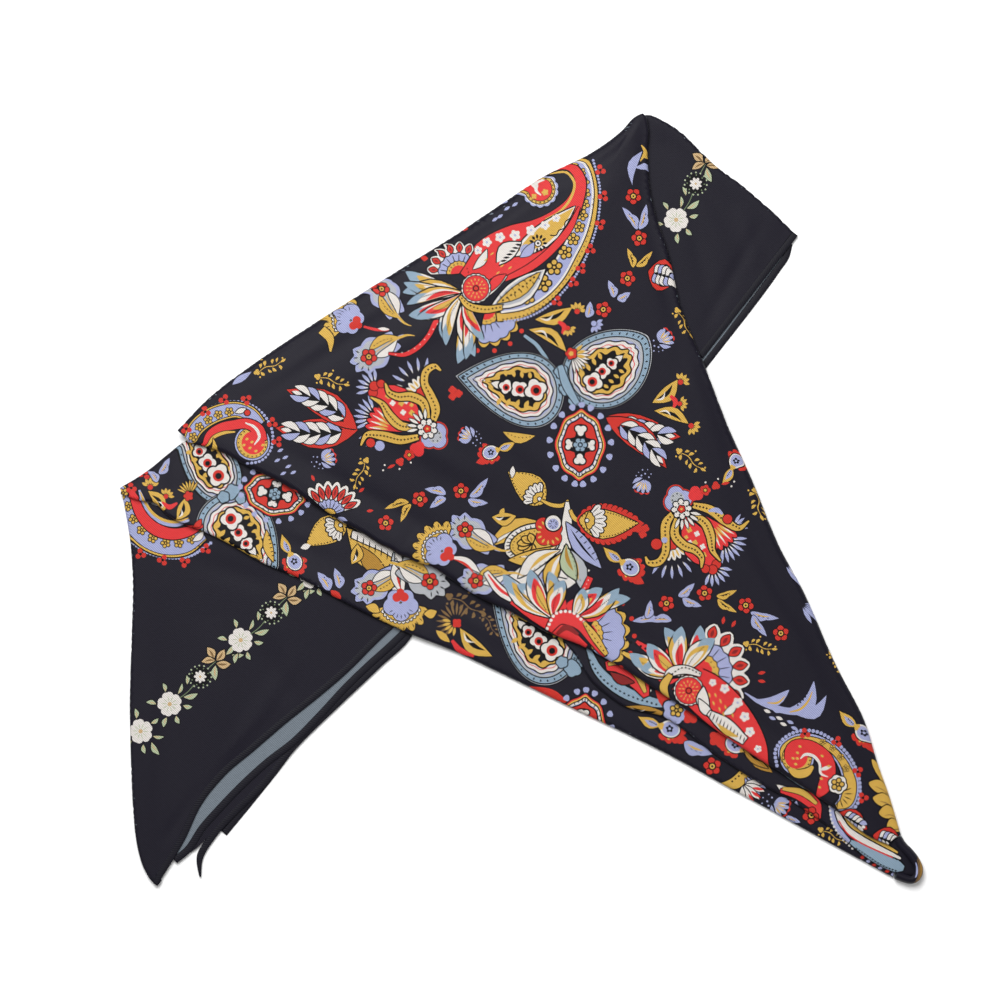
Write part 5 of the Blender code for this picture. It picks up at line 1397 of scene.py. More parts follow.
def lower_print(pen: Pen) -> None:
    """The lowest pleat."""
    heart(pen, 174, 409, 52, 1.05, wide=0.7)
    heart(pen, 276, 580, 238, 0.99, -1)
    knots(pen, (233, 492, 8), (224, 497, 6), (241, 499, 5))
    pen.rays(191, 494, 3, 14, 200, 300, 7, 2.0, Tint.GOLD, line=0.4)
    pen.disc(190, 495, 3, Tint.RED, line=0.5)
    curl_tail(pen)
    each(slit_leaf, pen, (166, 512, 149, 491, 11), (178, 520, 186, 498, 13))
    pen.line([(163, 502), (170, 507), (178, 503)], [2, 5, 2], Tint.CORAL)
    each(floret, pen, (151, 484, -90, 8), (168, 494, -60, 7))
    pen.lobed(189, 496, 5, 5, Tint.RED, 0.3, line=0.4)
    each(plain_leaf, pen, (158, 482, 150, 470, 8), (160, 474, 170, 458, 8))
    each(trio, pen, (132, 488), (146, 474, 40))
    almond(pen, 275, 494, 12, 0.86)
    eye_drop(pen, 294, 560, 62, 0.86)
    pen.leaf(267, 530, 274, 562, 9, Tint.GOLD, 0.06, line=0.5)
    for k in range(6):
        pen.leaf(267.6 + 0.8 * k, 536 + 4 * k, 271 + 0.8 * k, 535 + 4 * k, 1.0, Tint.BLACK)
    pod(pen, 346, 522, 306, 546, 28)
    pen.leaf(311, 545, 301, 548, 6, Tint.WHITE)
    pen.leaf(347, 528, 402, 560, 34, Tint.GOLD, 0.14, 1.1, line=0.7)
    pen.line([(352, 534), (368, 540), (386, 548), (402, 560)], [7, 9, 9, 6], Tint.WHITE, line=0.6)
    for k in range(9):
        pen.leaf(352 + 6 * k, 530 + 3.4 * k, 351 + 6 * k, 541 + 3.2 * k, 1.3, Tint.BLACK)
    pen.leaf(360, 546, 388, 574, 16, Tint.DARK_GOLD, 0.1, line=0.5)
    slit_leaf(pen, 352, 564, 358, 544, 12)
    each(plain_leaf, pen, (330, 590, 318, 572, 11), (340, 588, 335, 568, 10))
    pen.leaf(331, 590, 342, 599, 7, Tint.RED)
    pen.line([(398, 552), (394, 566), (384, 578)], [8, 8, 4], Tint.GREY, line=0.6)
    pen.line([(398, 552), (400, 575), (398, 594)], [5, 10, 12], Tint.WHITE, line=0.6)
    star_leaf(pen, 371, 587, -28, 1.0)
    bell(pen, 401, 604, -92, 1.0)
    star_leaf(pen, 428, 580, 208, 1.1, 1, Tint.GREY)
    pen.leaf(380, 612, 366, 606, 9, Tint.GOLD, 0.1, line=0.5)
    pen.leaf(424, 614, 437, 611, 9, Tint.GOLD, 0.1, line=0.5)
    each(sprig, pen, (465, 604, 30, 1.2, Tint.BROWN), (490, 624, 60, 0.8, Tint.BROWN))
    pen.rays(456, 622, 7, 20, 130, 310, 11, 2.4, Tint.BROWN)
    pen.rays(456, 622, 5, 14, 100, 190, 5, 3, Tint.GOLD)
    pen.lobed(457, 623, 5, 4, Tint.RED, 0.3)
    slit_leaf(pen, 460, 628, 492, 656, 15)
    pen.leaf(436, 630, 450, 642, 7, Tint.GOLD)
    pen.line([(452, 640), (460, 650), (474, 656)], [3, 6, 3], Tint.CORAL)
    heart(pen, 494, 598, 38, 1.02)
    knots(pen, (573, 668, 9), (584, 660, 7), (562, 662, 6))
    pen.line([(530, 688), (552, 694), (566, 702)], [4, 9, 4], Tint.RED)
    almond(pen, 582, 728, 96, 0.95)
    eye_drop(pen, 668, 728, 18, 0.98)
    plain_leaf(pen, 684, 742, 712, 754, 14)
    blossom(pen, 712, 766, 9)
    pen.line([(748, 752), (746, 770), (736, 782), (722, 786)], [3, 10, 12, 6], Tint.GOLD, line=0.6)
    pen.dots([(747, 758), (744, 770), (732, 781)], 8, 1.0, Tint.BLACK)
    pen.rays(742, 770, 8, 30, -60, 70, 9, 5, Tint.LAVENDER, line=0.4)
    pen.rays(742, 782, 4, 24, 0, 90, 5, 6, Tint.WHITE, line=0.5)
    pen.rays(744, 786, 8, 20, 10, 60, 3, 3, Tint.CORAL)
    tuft(pen, 778, 806, 30, 1.1)
    plain_leaf(pen, 786, 816, 800, 822, 7)
    blossom(pen, 811, 815, 9)
    sprig(pen, 832, 835, 30, 0.9)
    heart_rim(pen)


def curl_tail(pen: Pen) -> None:
    """The curl that hangs over the shoulder, on the pleat and on the corner under it."""
    arc = [(119, 486), (125, 504), (133, 523), (146, 538), (165, 546), (185, 545), (204, 535)]
    pen.dots([(111, 488), (116, 507), (124, 530), (140, 548), (164, 557), (190, 556), (211, 543)], 46, 1.7,
             Tint.LAVENDER)
    pen.line(arc, [12, 19, 21, 21, 21, 20, 10], Tint.GOLD, line=0.8)
    pen.dots([(113, 490), (119, 508), (127, 528), (142, 544), (164, 553), (188, 552), (207, 541)], 30, 0.8,
             Tint.BLACK)
    pen.line(arc, [9, 14, 16, 16, 16, 15, 8], Tint.LAVENDER, line=0.4)
    for x, y in ((124, 493), (129, 506), (134, 519), (142, 530), (153, 538), (166, 543), (179, 543),
                 (192, 539)):
        black_gold(pen, x, y, 5.2)
    pen.line([(131, 488), (137, 503), (144, 517), (156, 529), (173, 534), (190, 531), (203, 525)],
             [4, 10, 12, 12, 11, 9, 4], Tint.CORAL, line=0.6)
    pen.line([(140, 490), (145, 503), (152, 514), (163, 522), (178, 524), (190, 520)],
             [2, 5, 5, 5, 5, 2], Tint.LAVENDER, line=0.5)
    pen.line([(141, 492), (146, 503), (153, 513), (164, 520), (178, 522), (189, 518)],
             [1, 2.6, 2.8, 2.8, 2.6, 1], Tint.GOLD)
    pen.leaf(193, 541, 204, 531, 6, Tint.WHITE, 0.1, line=0.4)
    pen.leaf(194, 528, 202, 519, 6, Tint.RED, 0.1, line=0.4)
    each(trio, pen, (141, 554, 0), (163, 560, 40), (185, 562, 80), (206, 549, 20), (119, 470, 0))


def heart_rim(pen: Pen) -> None:
    """The border of a heart that runs down to the right tip, on the two lower pleats."""
    pen.line([(831, 804), (833, 818), (841, 833), (854, 846)], [5, 6, 5, 3], Tint.LAVENDER, line=0.6)
    pen.dots([(829, 806), (831, 820), (839, 835), (852, 848)], 13, 1.3, Tint.WHITE)
    pen.line([(850, 841), (864, 849), (880, 858), (895, 865), (903, 868)], [4, 10, 14, 13, 5], Tint.TEAL,
             line=0.7)
    pen.dots([(856, 840), (870, 847), (886, 854), (899, 860)], 15, 1.0, Tint.BLACK)
    pen.dots([(856, 848), (868, 856), (882, 865), (895, 870)], 15, 1.0, Tint.BLACK)
    pen.line([(836, 810), (842, 823), (852, 833), (866, 841), (882, 849), (900, 858)], [4, 6, 6, 6, 5, 2],
             Tint.WHITE, line=0.7)
    pen.line([(838, 820), (846, 832), (858, 841), (874, 849), (892, 857)], 1.4, Tint.CORAL)
    pen.line([(842, 811), (850, 823), (862, 832), (878, 841), (897, 852)], [2, 4.4, 4, 4, 2], Tint.GOLD,
             line=0.7)
    for x, y, tint in ((862, 857, Tint.RED), (868, 861, Tint.LAVENDER), (874, 865, Tint.RED),
                       (880, 868, Tint.LAVENDER),
                       (887, 871, Tint.RED), (893, 874, Tint.LAVENDER)):
        pen.disc(x, y, 1.9, tint)


def middle_print(pen: Pen) -> None:
    """The middle pleat."""
    pen.line([(588, 648), (598, 670), (618, 688), (645, 700), (672, 705)], [4, 9, 11, 10, 5], Tint.TEAL,
             line=0.8)
    pen.dots([(590, 660), (602, 678), (626, 694), (656, 704)], 18, 1.1, Tint.BLACK)
    pen.line([(612, 668), (630, 680), (650, 692)], [6, 9, 5], Tint.WHITE, line=0.5)
    pen.line([(606, 666), (622, 664), (636, 676), (646, 696)], [8, 20, 22, 6], Tint.CORAL, line=0.8)
    pen.line([(608, 664), (622, 661), (636, 672), (645, 692)], [3, 7, 8, 3], Tint.GOLD, line=0.4)
    pen.leaf(610, 672, 634, 682, 9, Tint.DEEP_RED, 0.1, line=0.6)
    slit_leaf(pen, 626, 706, 664, 712, 16, Tint.DARK_GOLD)
    pen.leaf(655, 690, 684, 706, 16, Tint.RED, 0.1)
    pen.lobed(676, 710, 14, 6, Tint.LAVENDER, 0.2, line=0.8)
    black_gold(pen, 676, 710, 7)
    pen.lobed(690, 716, 8, 4, Tint.RED, 0.3)
    pen.lobed(716, 738, 8, 4, Tint.RED, 0.3)
    eye_drop(pen, 736, 745, 212, 0.95, -1)
    pen.leaf(748, 744, 772, 772, 12, Tint.DARK_GOLD, 0.1, line=0.5)
    slit_leaf(pen, 742, 738, 768, 768, 9, Tint.DARK_GOLD)
    pen.line([(770, 762), (790, 776), (812, 792)], [4, 5, 3], Tint.TEAL)
    pen.leaf(776, 784, 802, 794, 9, Tint.WHITE, 0.1, line=0.5)
    pen.line([(780, 790), (800, 794), (814, 804), (818, 818)], [4, 12, 12, 4], Tint.CORAL, line=0.6)
    pen.line([(782, 788), (802, 792), (816, 803)], [3, 6, 3], Tint.GOLD, line=0.4)
    pen.leaf(796, 800, 792, 812, 6, Tint.LAVENDER)
    blossom(pen, 809, 815, 9)
    heart_rim(pen)


def white_rose(pen: Pen) -> None:
    """A ruffled white flower, with small buds and leaves standing round it."""
    for x0, y0, x1, y1, width in ((13, -2, 23, -7, 3.4), (15, 4, 28, 11, 5.4), (9, 10, 15, 17, 4.4),
                                  (-11, 8, -20, 13, 4.6), (-10, -9, -16, -17, 4.4), (-3, 13, -6, 21, 4.6),
                                  (5, -12, 9, -20, 4.0)):
        pen.leaf(x0, y0, x1, y1, width, Tint.PALE_GREEN, 0.1, line=0.5)
        pen.leaf(x0, y0, x0 + (x1 - x0) * 0.7, y0 + (y1 - y0) * 0.7, 1.1, Tint.TAN, 0.1)
    for angle in range(10, 370, 72):
        c, s = compass(angle)
        pen.lobed(7.2 * c, 7.2 * s, 6.0, 3, Tint.WHITE, 0.24, angle)
    for angle in range(10, 370, 36):
        c, s = compass(angle)
        pen.leaf(2 * c, 2 * s, 8.4 * c, 8.4 * s, 0.8, Tint.PALE_GREEN)
    pen.disc(0, 0, 2.2, Tint.TAN)


def border_garland(pen: Pen, first: int, last: int) -> None:
    """A narrow garland along the x axis.  Each repeat has a white flower, a dark-rimmed one, a
    cluster of five tan and green leaves and two loose buds."""
    pitch = 95.5
    for k in range(first, last):
        p = pen.at(k * pitch, 0)
        p.line([(0, 0), (22, 3), (41, 0), (64, -1), (pitch, 0)], 0.8, Tint.GREEN)
        for x0, y0, x1, y1, width, tint in (
            (63, -4, 66, -17, 8, Tint.TAN), (63, -2, 52, -10, 6.5, Tint.TAN), (64, -1, 77, -4, 7.5, Tint.TAN),
            (62, 1, 72, 11, 8, Tint.TAN), (60, 2, 50, 13, 6.5, Tint.PALE_GREEN),
            (75, 1, 87, -1, 4.6, Tint.PALE_GREEN),
            (79, 5, 88, 13, 4.6, Tint.PALE_GREEN), (26, -3, 32, -10, 3.6, Tint.PALE_GREEN),
        ):
            p.leaf(x0, y0, x1, y1, width, tint, 0.08, line=0.6)
            vein = Tint.BROWN if tint is Tint.TAN else Tint.TAN
            p.leaf(x0, y0, x0 + (x1 - x0) * 0.8, y0 + (y1 - y0) * 0.8, width * 0.26, vein, 0.08)
        q = p.at(41, 0, 20)
        q.ring(0, 0, 11.2, 15, 0.9, Tint.PALE_GREEN)
        q.lobed(0, 0, 10.6, 8, Tint.BLACK, 0.2)
        q.ring(0, 0, 8.6, 8, 0.7, Tint.GREEN)
        q.lobed(0, 0, 6.4, 8, Tint.WHITE, 0.38)
        q.disc(0, 0, 1.2, Tint.TAN)
        white_rose(p)


def corner_print(pen: Pen) -> None:
    """The lower left corner: a garland, and the curl that hangs down over it."""
    border_garland(pen.at(241, 640, -42), -1, 2)
    white_rose(pen.at(141, 731, 30))
    curl_tail(pen)


def flap_print(pen: Pen) -> None:
    """The flap at the upper right."""
    border_garland(pen.at(676, 220, -61.5), 0, 2)


def tip_print(pen: Pen) -> None:
    """The loop at the tip, in its own chart: the run along it and across it."""
    pen.line([(26, 17), (36, 19), (46, 20), (58, 18)], [1, 4, 4, 1], Tint.DARK_GOLD)
    pen.line([(28, 21), (42, 23), (56, 21)], [1, 2.6, 1], Tint.BROWN)
    pen.line([(30, 24), (42, 25.5), (54, 24)], [1, 2.2, 1], Tint.LAVENDER)
    pen.line([(20, 6), (34, 9), (48, 8), (60, 12)], [3, 6, 7, 3], Tint.BROWN)


def drawn(*parts: Callable[[Pen], None]) -> list:
    """Painter's list of the parts, each drawn over the ones before it."""
    pen = Pen([])
    for part in parts:
        part(pen)
    return pen.shapes


# ---------------------------------------------------------------------------- the cloth shells
def lattice(ring: Points, step: float) -> Points:
    """Points of an even triangular lattice inside a ring."""
    low, high = ring.min(0), ring.max(0)
    x = np.arange(low[0], high[0], step)
    y = np.arange(low[1], high[1], step * 0.866)
    grid = np.stack(np.meshgrid(x, y), 2)
    grid[1::2, :, 0] += step / 2
    points = grid.reshape(-1, 2)
    return points[inside(ring, points)]


def triangulated(points: Points, edges: Points, ring: Points) -> tuple[Points, Points, list]:
    """Triangles over points that keep the edges, inside the ring only.

    Returns: the points, the triangles and, for each point, the given points that it stands for.
    """
    made = geometry.delaunay_2d_cdt([Vector(p) for p in points], edges.tolist(), [], 0, WELD, True)
    flat = np.array([tuple(p) for p in made[0]])
    triangles = np.array([f for f in made[2] if len(f) == 3])
    keep = np.zeros(len(triangles), bool)
    middles = flat[triangles].mean(1)
    for part in np.array_split(np.arange(len(middles)), len(middles) // CHUNK + 1):
        keep[part] = inside(ring, middles[part])
    return flat, triangles[keep], made[3]


def ring_edges(rings: list) -> Points:
    """Edges of closed rings whose points are listed one ring after another."""
    sizes = np.array([len(r) for r in rings])
    start = np.repeat(np.cumsum(sizes) - sizes, sizes)
    size = np.repeat(sizes, sizes)
    i = np.arange(sizes.sum())
    return np.column_stack([i, start + (i - start + 1) % size])


def sides(triangles: Points) -> Points:
    """Directed edges of triangles: the first of each, then the second, then the third."""
    return np.vstack([triangles[:, [0, 1]], triangles[:, [1, 2]], triangles[:, [2, 0]]])


def boundary(triangles: Points) -> Points:
    """Directed edges that only one triangle has."""
    edges = sides(triangles)
    _, index, count = np.unique(np.sort(edges, axis=1), axis=0, return_index=True, return_counts=True)
    return edges[index[count == 1]]


def painted(middles: Points, paints: list, ground: Tint) -> Points:
    """Colour of each triangle, from the last polygon in the list that its middle lies in."""
    colours = np.tile(ground.value, (len(middles), 1))
    order = np.argsort(middles[:, 0])
    xs = middles[order, 0]
    for ring, tint in paints:
        low, high = ring.min(0), ring.max(0)
        some = order[np.searchsorted(xs, low[0]):np.searchsorted(xs, high[0])]
        some = some[(middles[some, 1] >= low[1]) & (middles[some, 1] <= high[1])]
        if len(some):
            colours[some[inside(ring, middles[some])]] = tint.value
    return colours


@dataclass
class Cloth:
    """A stretch dressed as a thin closed shell: printed outside, plain inside."""
    stretch: Stretch | Strip
    node: str
    paints: list
    finishes: tuple
    ground: Tint = Tint.GROUND

    def build(self) -> bpy.types.Object:
        """Builds the shell.  Returns: its object."""
        ring = densified(self.stretch.outline(), BORDER_STEP)
        prints = [(r, t) for r, t in self.paints if self.near(ring, r)]
        lines, borders = self.borders(ring, prints)
        seeds = np.vstack([lattice(ring, GRAIN), self.stretch.seeds()])
        flat, triangles, _ = triangulated(np.vstack([lines, seeds]), borders, ring)
        used, triangles = np.unique(triangles, return_inverse=True)
        flat, triangles = flat[used], triangles.reshape(-1, 3)
        colours = painted(flat[triangles].mean(1), prints, self.ground)
        points, normals = self.stretch.surface(*self.stretch.locate(flat))
        edge = boundary(triangles)
        rim = np.unique(edge)
        inner_edges = np.searchsorted(rim, edge)
        inner_seeds = np.vstack([lattice(ring, INNER_GRAIN), self.stretch.seeds()[::2]])
        inner, inner_triangles, origin = triangulated(np.vstack([flat[rim], inner_seeds]), inner_edges, ring)
        inner_points, inner_normals = self.stretch.surface(*self.stretch.locate(inner))
        twin = np.zeros(len(rim) + len(inner_seeds), int)
        for k, sources in enumerate(origin):
            twin[sources] = k
        return self.assembled(
            flat, triangles, colours, points, normals, edge, inner, inner_triangles,
            inner_points - inner_normals * SILK, inner_normals, twin[inner_edges] + len(flat),
        )

    def borders(self, ring: Points, prints: list) -> tuple[Points, Points]:
        """Points and edges of the rim and of the print's borders, without the lines that later shapes
        cover, so that the shell has no triangles for what nobody sees."""
        rings = [ring] + [densified(r, BORDER_STEP) for r, _ in prints]
        flat, triangles, _ = triangulated(np.vstack(rings), ring_edges(rings), ring)
        colours = painted(flat[triangles].mean(1), prints, self.ground)
        tone = np.tile(np.unique(colours, axis=0, return_inverse=True)[1].ravel(), 3)
        edges, spot, count = np.unique(np.sort(sides(triangles), axis=1), axis=0, return_inverse=True,
                                       return_counts=True)
        least, most = np.full(len(edges), tone.max()), np.zeros(len(edges), int)
        np.minimum.at(least, spot.ravel(), tone)
        np.maximum.at(most, spot.ravel(), tone)
        used, edges = np.unique(edges[(count == 1) | (least < most)], return_inverse=True)
        return flat[used], edges.reshape(-1, 2)

    def near(self, ring: Points, shape: Points) -> bool:
        """Whether a polygon comes into the chart."""
        if (shape.max(0) < ring.min(0)).any() or (shape.min(0) > ring.max(0)).any():
            return False
        return bool(inside(ring, shape).any())

    def assembled(self, flat: Points, triangles: Points, colours: Points, points: Points, normals: Points,
                  edge: Points, inner: Points, inner_triangles: Points, inner_points: Points,
                  inner_normals: Points, inner_edge: Points) -> bpy.types.Object:
        """Joins outside, inside and the narrow wall between them into one mesh object."""
        back = inner_triangles[:, ::-1] + len(flat)
        wall = np.column_stack([edge[:, 1], edge[:, 0], inner_edge[:, 0], inner_edge[:, 1]])
        flip = np.cross(points[triangles[:, 1]] - points[triangles[:, 0]],
                        points[triangles[:, 2]] - points[triangles[:, 0]])
        if (flip * normals[triangles[:, 0]]).sum() < 0:
            triangles, back, wall = triangles[:, ::-1], back[:, ::-1], wall[:, ::-1]
        mesh = bpy.data.meshes.new(self.stretch.name)
        every = np.vstack([points, inner_points]) * MM
        mesh.from_pydata(every.tolist(), [], triangles.tolist() + back.tolist() + wall.tolist())
        sizes = (len(triangles), len(back), len(wall))
        mesh.polygons.foreach_set("use_smooth", np.repeat([True, True, False], sizes))
        mesh.polygons.foreach_set("material_index", np.repeat([0, 1, 1], sizes))
        corners = np.concatenate([triangles.ravel(), back.ravel(), wall.ravel()])
        charted = np.vstack([flat, inner])[corners]
        loops = np.repeat([0, 1, 2], (sizes[0] * 3, sizes[1] * 3, sizes[2] * 4))
        mesh.uv_layers.new(name="weave").data.foreach_set("uv", charted.ravel())
        span = (flat.max(0) - flat.min(0)).max()
        packed = (charted - flat.min(0)) / span
        packed *= BAKE_SHARES[loops][:, None]
        packed += BAKE_CORNERS[loops]
        mesh.uv_layers.new(name="OFBake").data.foreach_set("uv", packed.ravel())
        shades = np.tile((*Tint.GROUND.value, 1.0), (len(corners), 1))
        shades[:sizes[0] * 3, :3] = np.repeat(colours, 3, axis=0)
        mesh.color_attributes.new("print", "FLOAT_COLOR", "CORNER").data.foreach_set("color", shades.ravel())
        aim = np.vstack([normals, -inner_normals])[corners]
        aim[loops == 2] = 0
        mesh.normals_split_custom_set(aim.tolist())
        for finish in self.finishes:
            mesh.materials.append(finish)
        mesh.validate(clean_customdata=False)
        thing = bpy.data.objects.new(self.stretch.name, mesh)
        bpy.context.scene.collection.objects.link(thing)
        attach(thing, BODY)
        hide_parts(self.node)
        legs = (points[triangles[:, k]] - points[triangles[:, 0]] for k in (1, 2))
        self.area = float(np.linalg.norm(np.cross(*legs), axis=1).sum()) / 2 * MM * MM
        log.info("%s: %d triangles, %.4f m2", thing.name, sizes[0] + sizes[1] + 2 * sizes[2], self.area)
        return thing

    def cut(self) -> tuple[float, float]:
        """Width and length of the stretch's flat cut in metres, from its chart."""
        ring = self.stretch.outline()
        middle = ring - ring.mean(0)
        axes = np.linalg.svd(middle, full_matrices=False)[2]
        spread = middle @ axes.T
        long, short = (spread.max(0) - spread.min(0)) * MM
        return round(float(short), 4), round(float(long), 4)


def flat_area(ring: Points) -> float:
    """Area of a chart's outline in square metres."""
    x, y = ring.T
    return abs(float((x * np.roll(y, -1) - y * np.roll(x, -1)).sum())) / 2 * MM * MM


@dataclass
class Hem:
    """Narrow folded hems along cut edges, puffed a little between their stitches.

    rails: for each band its outer edge, the normals that point inwards and the height that it lies at.
    """
    name: str
    rails: list
    finishes: tuple

    def band(self, edge: Points, normal: Points, low: float) -> tuple[Points, list, Points]:
        """Points, faces and weave chart of one band: a flattened oval carried along the edge."""
        run = lengths(edge)
        at = np.linspace(0, run[-1], int(run[-1] / HEM_STEP) + 1)
        line = np.column_stack([np.interp(at, run, c) for c in edge.T])
        normal = np.column_stack([np.interp(at, run, c) for c in normal.T])
        turn = np.linspace(0, 2 * math.pi, HEM_SIDES, endpoint=False)
        across = np.sign(np.cos(turn)) * np.abs(np.cos(turn)) ** 0.5
        up = np.sign(np.sin(turn)) * np.abs(np.sin(turn)) ** 0.7
        puff = 1 - HEM_PUFF * np.abs(np.cos(at * math.pi / STITCH_PITCH))[:, None] * (across[None] < -0.4)
        inset = HEM_WIDTH / 2 * (1 - across[None] * 0.995) + 0 * at[:, None]
        height = low + HEM_WALL / 2 * (1 + up[None] * puff)
        points = np.concatenate([line[:, None] + normal[:, None] * inset[:, :, None], height[:, :, None]], 2)
        rows, columns = points.shape[:2]
        i, j = np.meshgrid(np.arange(rows - 1), np.arange(columns), indexing="ij")
        a, b = i * columns + j, i * columns + (j + 1) % columns
        quads = np.stack([a, a + columns, b + columns, b], 2).reshape(-1, 4).tolist()
        ends = [list(range(columns)), list(range((rows - 1) * columns, rows * columns))[::-1]]
        chart = np.stack(np.meshgrid(at, np.arange(columns + 1) * WEAVE_SIDE, indexing="ij"), 2)
        corner = np.stack([chart[:-1, :-1], chart[1:, :-1], chart[1:, 1:], chart[:-1, 1:]], 2).reshape(-1, 2)
        cap = np.stack([np.cos(turn), np.sin(turn)], 1) * 3
        caps = [cap + (at[-1] + 10, 5), cap + (at[-1] + 20, 5)]
        return points.reshape(-1, 3), quads + ends, np.vstack([corner, *caps])

    def stitches(self, edge: Points, normal: Points, low: float) -> tuple[Points, list, Points]:
        """Points, faces and weave chart of a row of stitches: six-sided grains laid end to end."""
        run = lengths(edge)
        at = np.arange(STITCH_PITCH / 2, run[-1] - STITCH_PITCH, STITCH_PITCH)
        spots = [np.column_stack([np.interp(at + d, run, c) for c in (*edge.T, *normal.T)]) for d in (0, 0.1)]
        inset = HEM_WIDTH - STITCH_INSET
        middle = spots[0][:, :2] + spots[0][:, 2:] * inset
        along = unit(spots[1][:, :2] + spots[1][:, 2:] * inset - middle)
        side = np.stack([-along[:, 1], along[:, 0]], 1)
        turn = np.arange(6) * math.pi / 3
        level = low + HEM_WALL * STITCH_LEVEL
        grains, faces = [], []
        for k in range(len(at)):
            hoop = middle[k] + side[k] * (np.cos(turn) * STITCH_WIDTH / 2)[:, None]
            ring = np.column_stack([hoop, level + np.sin(turn) * STITCH_WIDTH / 2])
            reach = along[k] * STITCH_LENGTH / 2
            tips = [(*(middle[k] - reach), level - 0.1), (*(middle[k] + reach), level - 0.1)]
            grains.append(np.vstack([ring, tips]))
            for j in range(6):
                m, n = 8 * k + j, 8 * k + (j + 1) % 6
                faces += [[n, m, 8 * k + 6], [m, n, 8 * k + 7]]
        points = np.vstack(grains)
        chart = np.column_stack([points[:, 0], points[:, 1]])[np.array(faces).ravel()]
        return points, faces, chart - chart.min(0) + (0, 20)

    def build(self) -> bpy.types.Object:
        """Builds the bands and their rows of stitches as one mesh.  Returns: its object."""
        every, faces, charts, threads = [], [], [], []
        count = 0
        for rail in self.rails:
            for part, thread in ((self.band, 0), (self.stitches, 1)):
                points, sides, chart = part(*rail)
                faces += [[v + count for v in side] for side in sides]
                threads += [thread] * len(sides)
                charts.append(chart)
                every.append(points)
                count += len(points)
        mesh = bpy.data.meshes.new(self.name)
        mesh.from_pydata((np.vstack(every) * MM).tolist(), [], faces)
        mesh.shade_smooth()
        mesh.polygons.foreach_set("material_index", threads)
        charted = np.vstack(charts)
        mesh.uv_layers.new(name="weave").data.foreach_set("uv", charted.ravel())
        low = charted.min(0)
        baked = (charted - low) / (charted.max(0) - low).max()
        mesh.uv_layers.new(name="OFBake").data.foreach_set("uv", baked.ravel())
        for finish in self.finishes:
            mesh.materials.append(finish)
        thing = bpy.data.objects.new(self.name, mesh)
        bpy.context.scene.collection.objects.link(thing)
        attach(thing, BODY)
        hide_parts(self.name.replace("cloth_", ""))
        log.info("%s: %d faces", self.name, len(faces))
        return thing


# ---------------------------------------------------------------------------- the finishes
def add_node(tree: bpy.types.NodeTree, kind: str, values: dict | None = None) -> bpy.types.Node:
    """A new node of a kind, with the given inputs set."""
    made = tree.nodes.new(kind)
    for name, value in (values or {}).items():
        made.inputs[name].default_value = value
    return made


def weave_group() -> bpy.types.NodeTree:
    """Fine twill with slubs: height for a bump and a shade of the thread's own light and dark."""
    group = bpy.data.node_groups.new("fine_twill", "ShaderNodeTree")
    face, links = group.interface, group.links
    face.new_socket("Twill Scale", in_out="INPUT", socket_type="NodeSocketFloat").default_value = 1.0
    face.new_socket("Height", in_out="OUTPUT", socket_type="NodeSocketFloat")
    face.new_socket("Shade", in_out="OUTPUT", socket_type="NodeSocketFloat")
    given, out = add_node(group, "NodeGroupInput"), add_node(group, "NodeGroupOutput")
    uv = add_node(group, "ShaderNodeUVMap")
    uv.uv_map = "weave"
    wave = add_node(group, "ShaderNodeTexWave", {"Distortion": 0.6, "Detail": 1.0})
    wave.bands_direction = "DIAGONAL"
    links.new(uv.outputs["UV"], wave.inputs["Vector"])
    links.new(given.outputs["Twill Scale"], wave.inputs["Scale"])
    slub = add_node(group, "ShaderNodeTexNoise", {"Scale": 1.1, "Detail": 3.0})
    stretch = add_node(group, "ShaderNodeMapping", {"Scale": (0.25, 1.6, 1.0), "Rotation": (0, 0, 0.6)})
    links.new(uv.outputs["UV"], stretch.inputs["Vector"])
    links.new(stretch.outputs["Vector"], slub.inputs["Vector"])
    add = add_node(group, "ShaderNodeMath")
    add.operation = "ADD"
    links.new(wave.outputs["Fac"], add.inputs[0])
    links.new(slub.outputs["Fac"], add.inputs[1])
    links.new(add.outputs["Value"], out.inputs["Height"])
    spread = add_node(group, "ShaderNodeMapRange",
                      {"From Min": 0.3, "From Max": 1.6, "To Min": 0.58, "To Max": 1.34})
    links.new(add.outputs["Value"], spread.inputs["Value"])
    links.new(spread.outputs["Result"], out.inputs["Shade"])
    return group


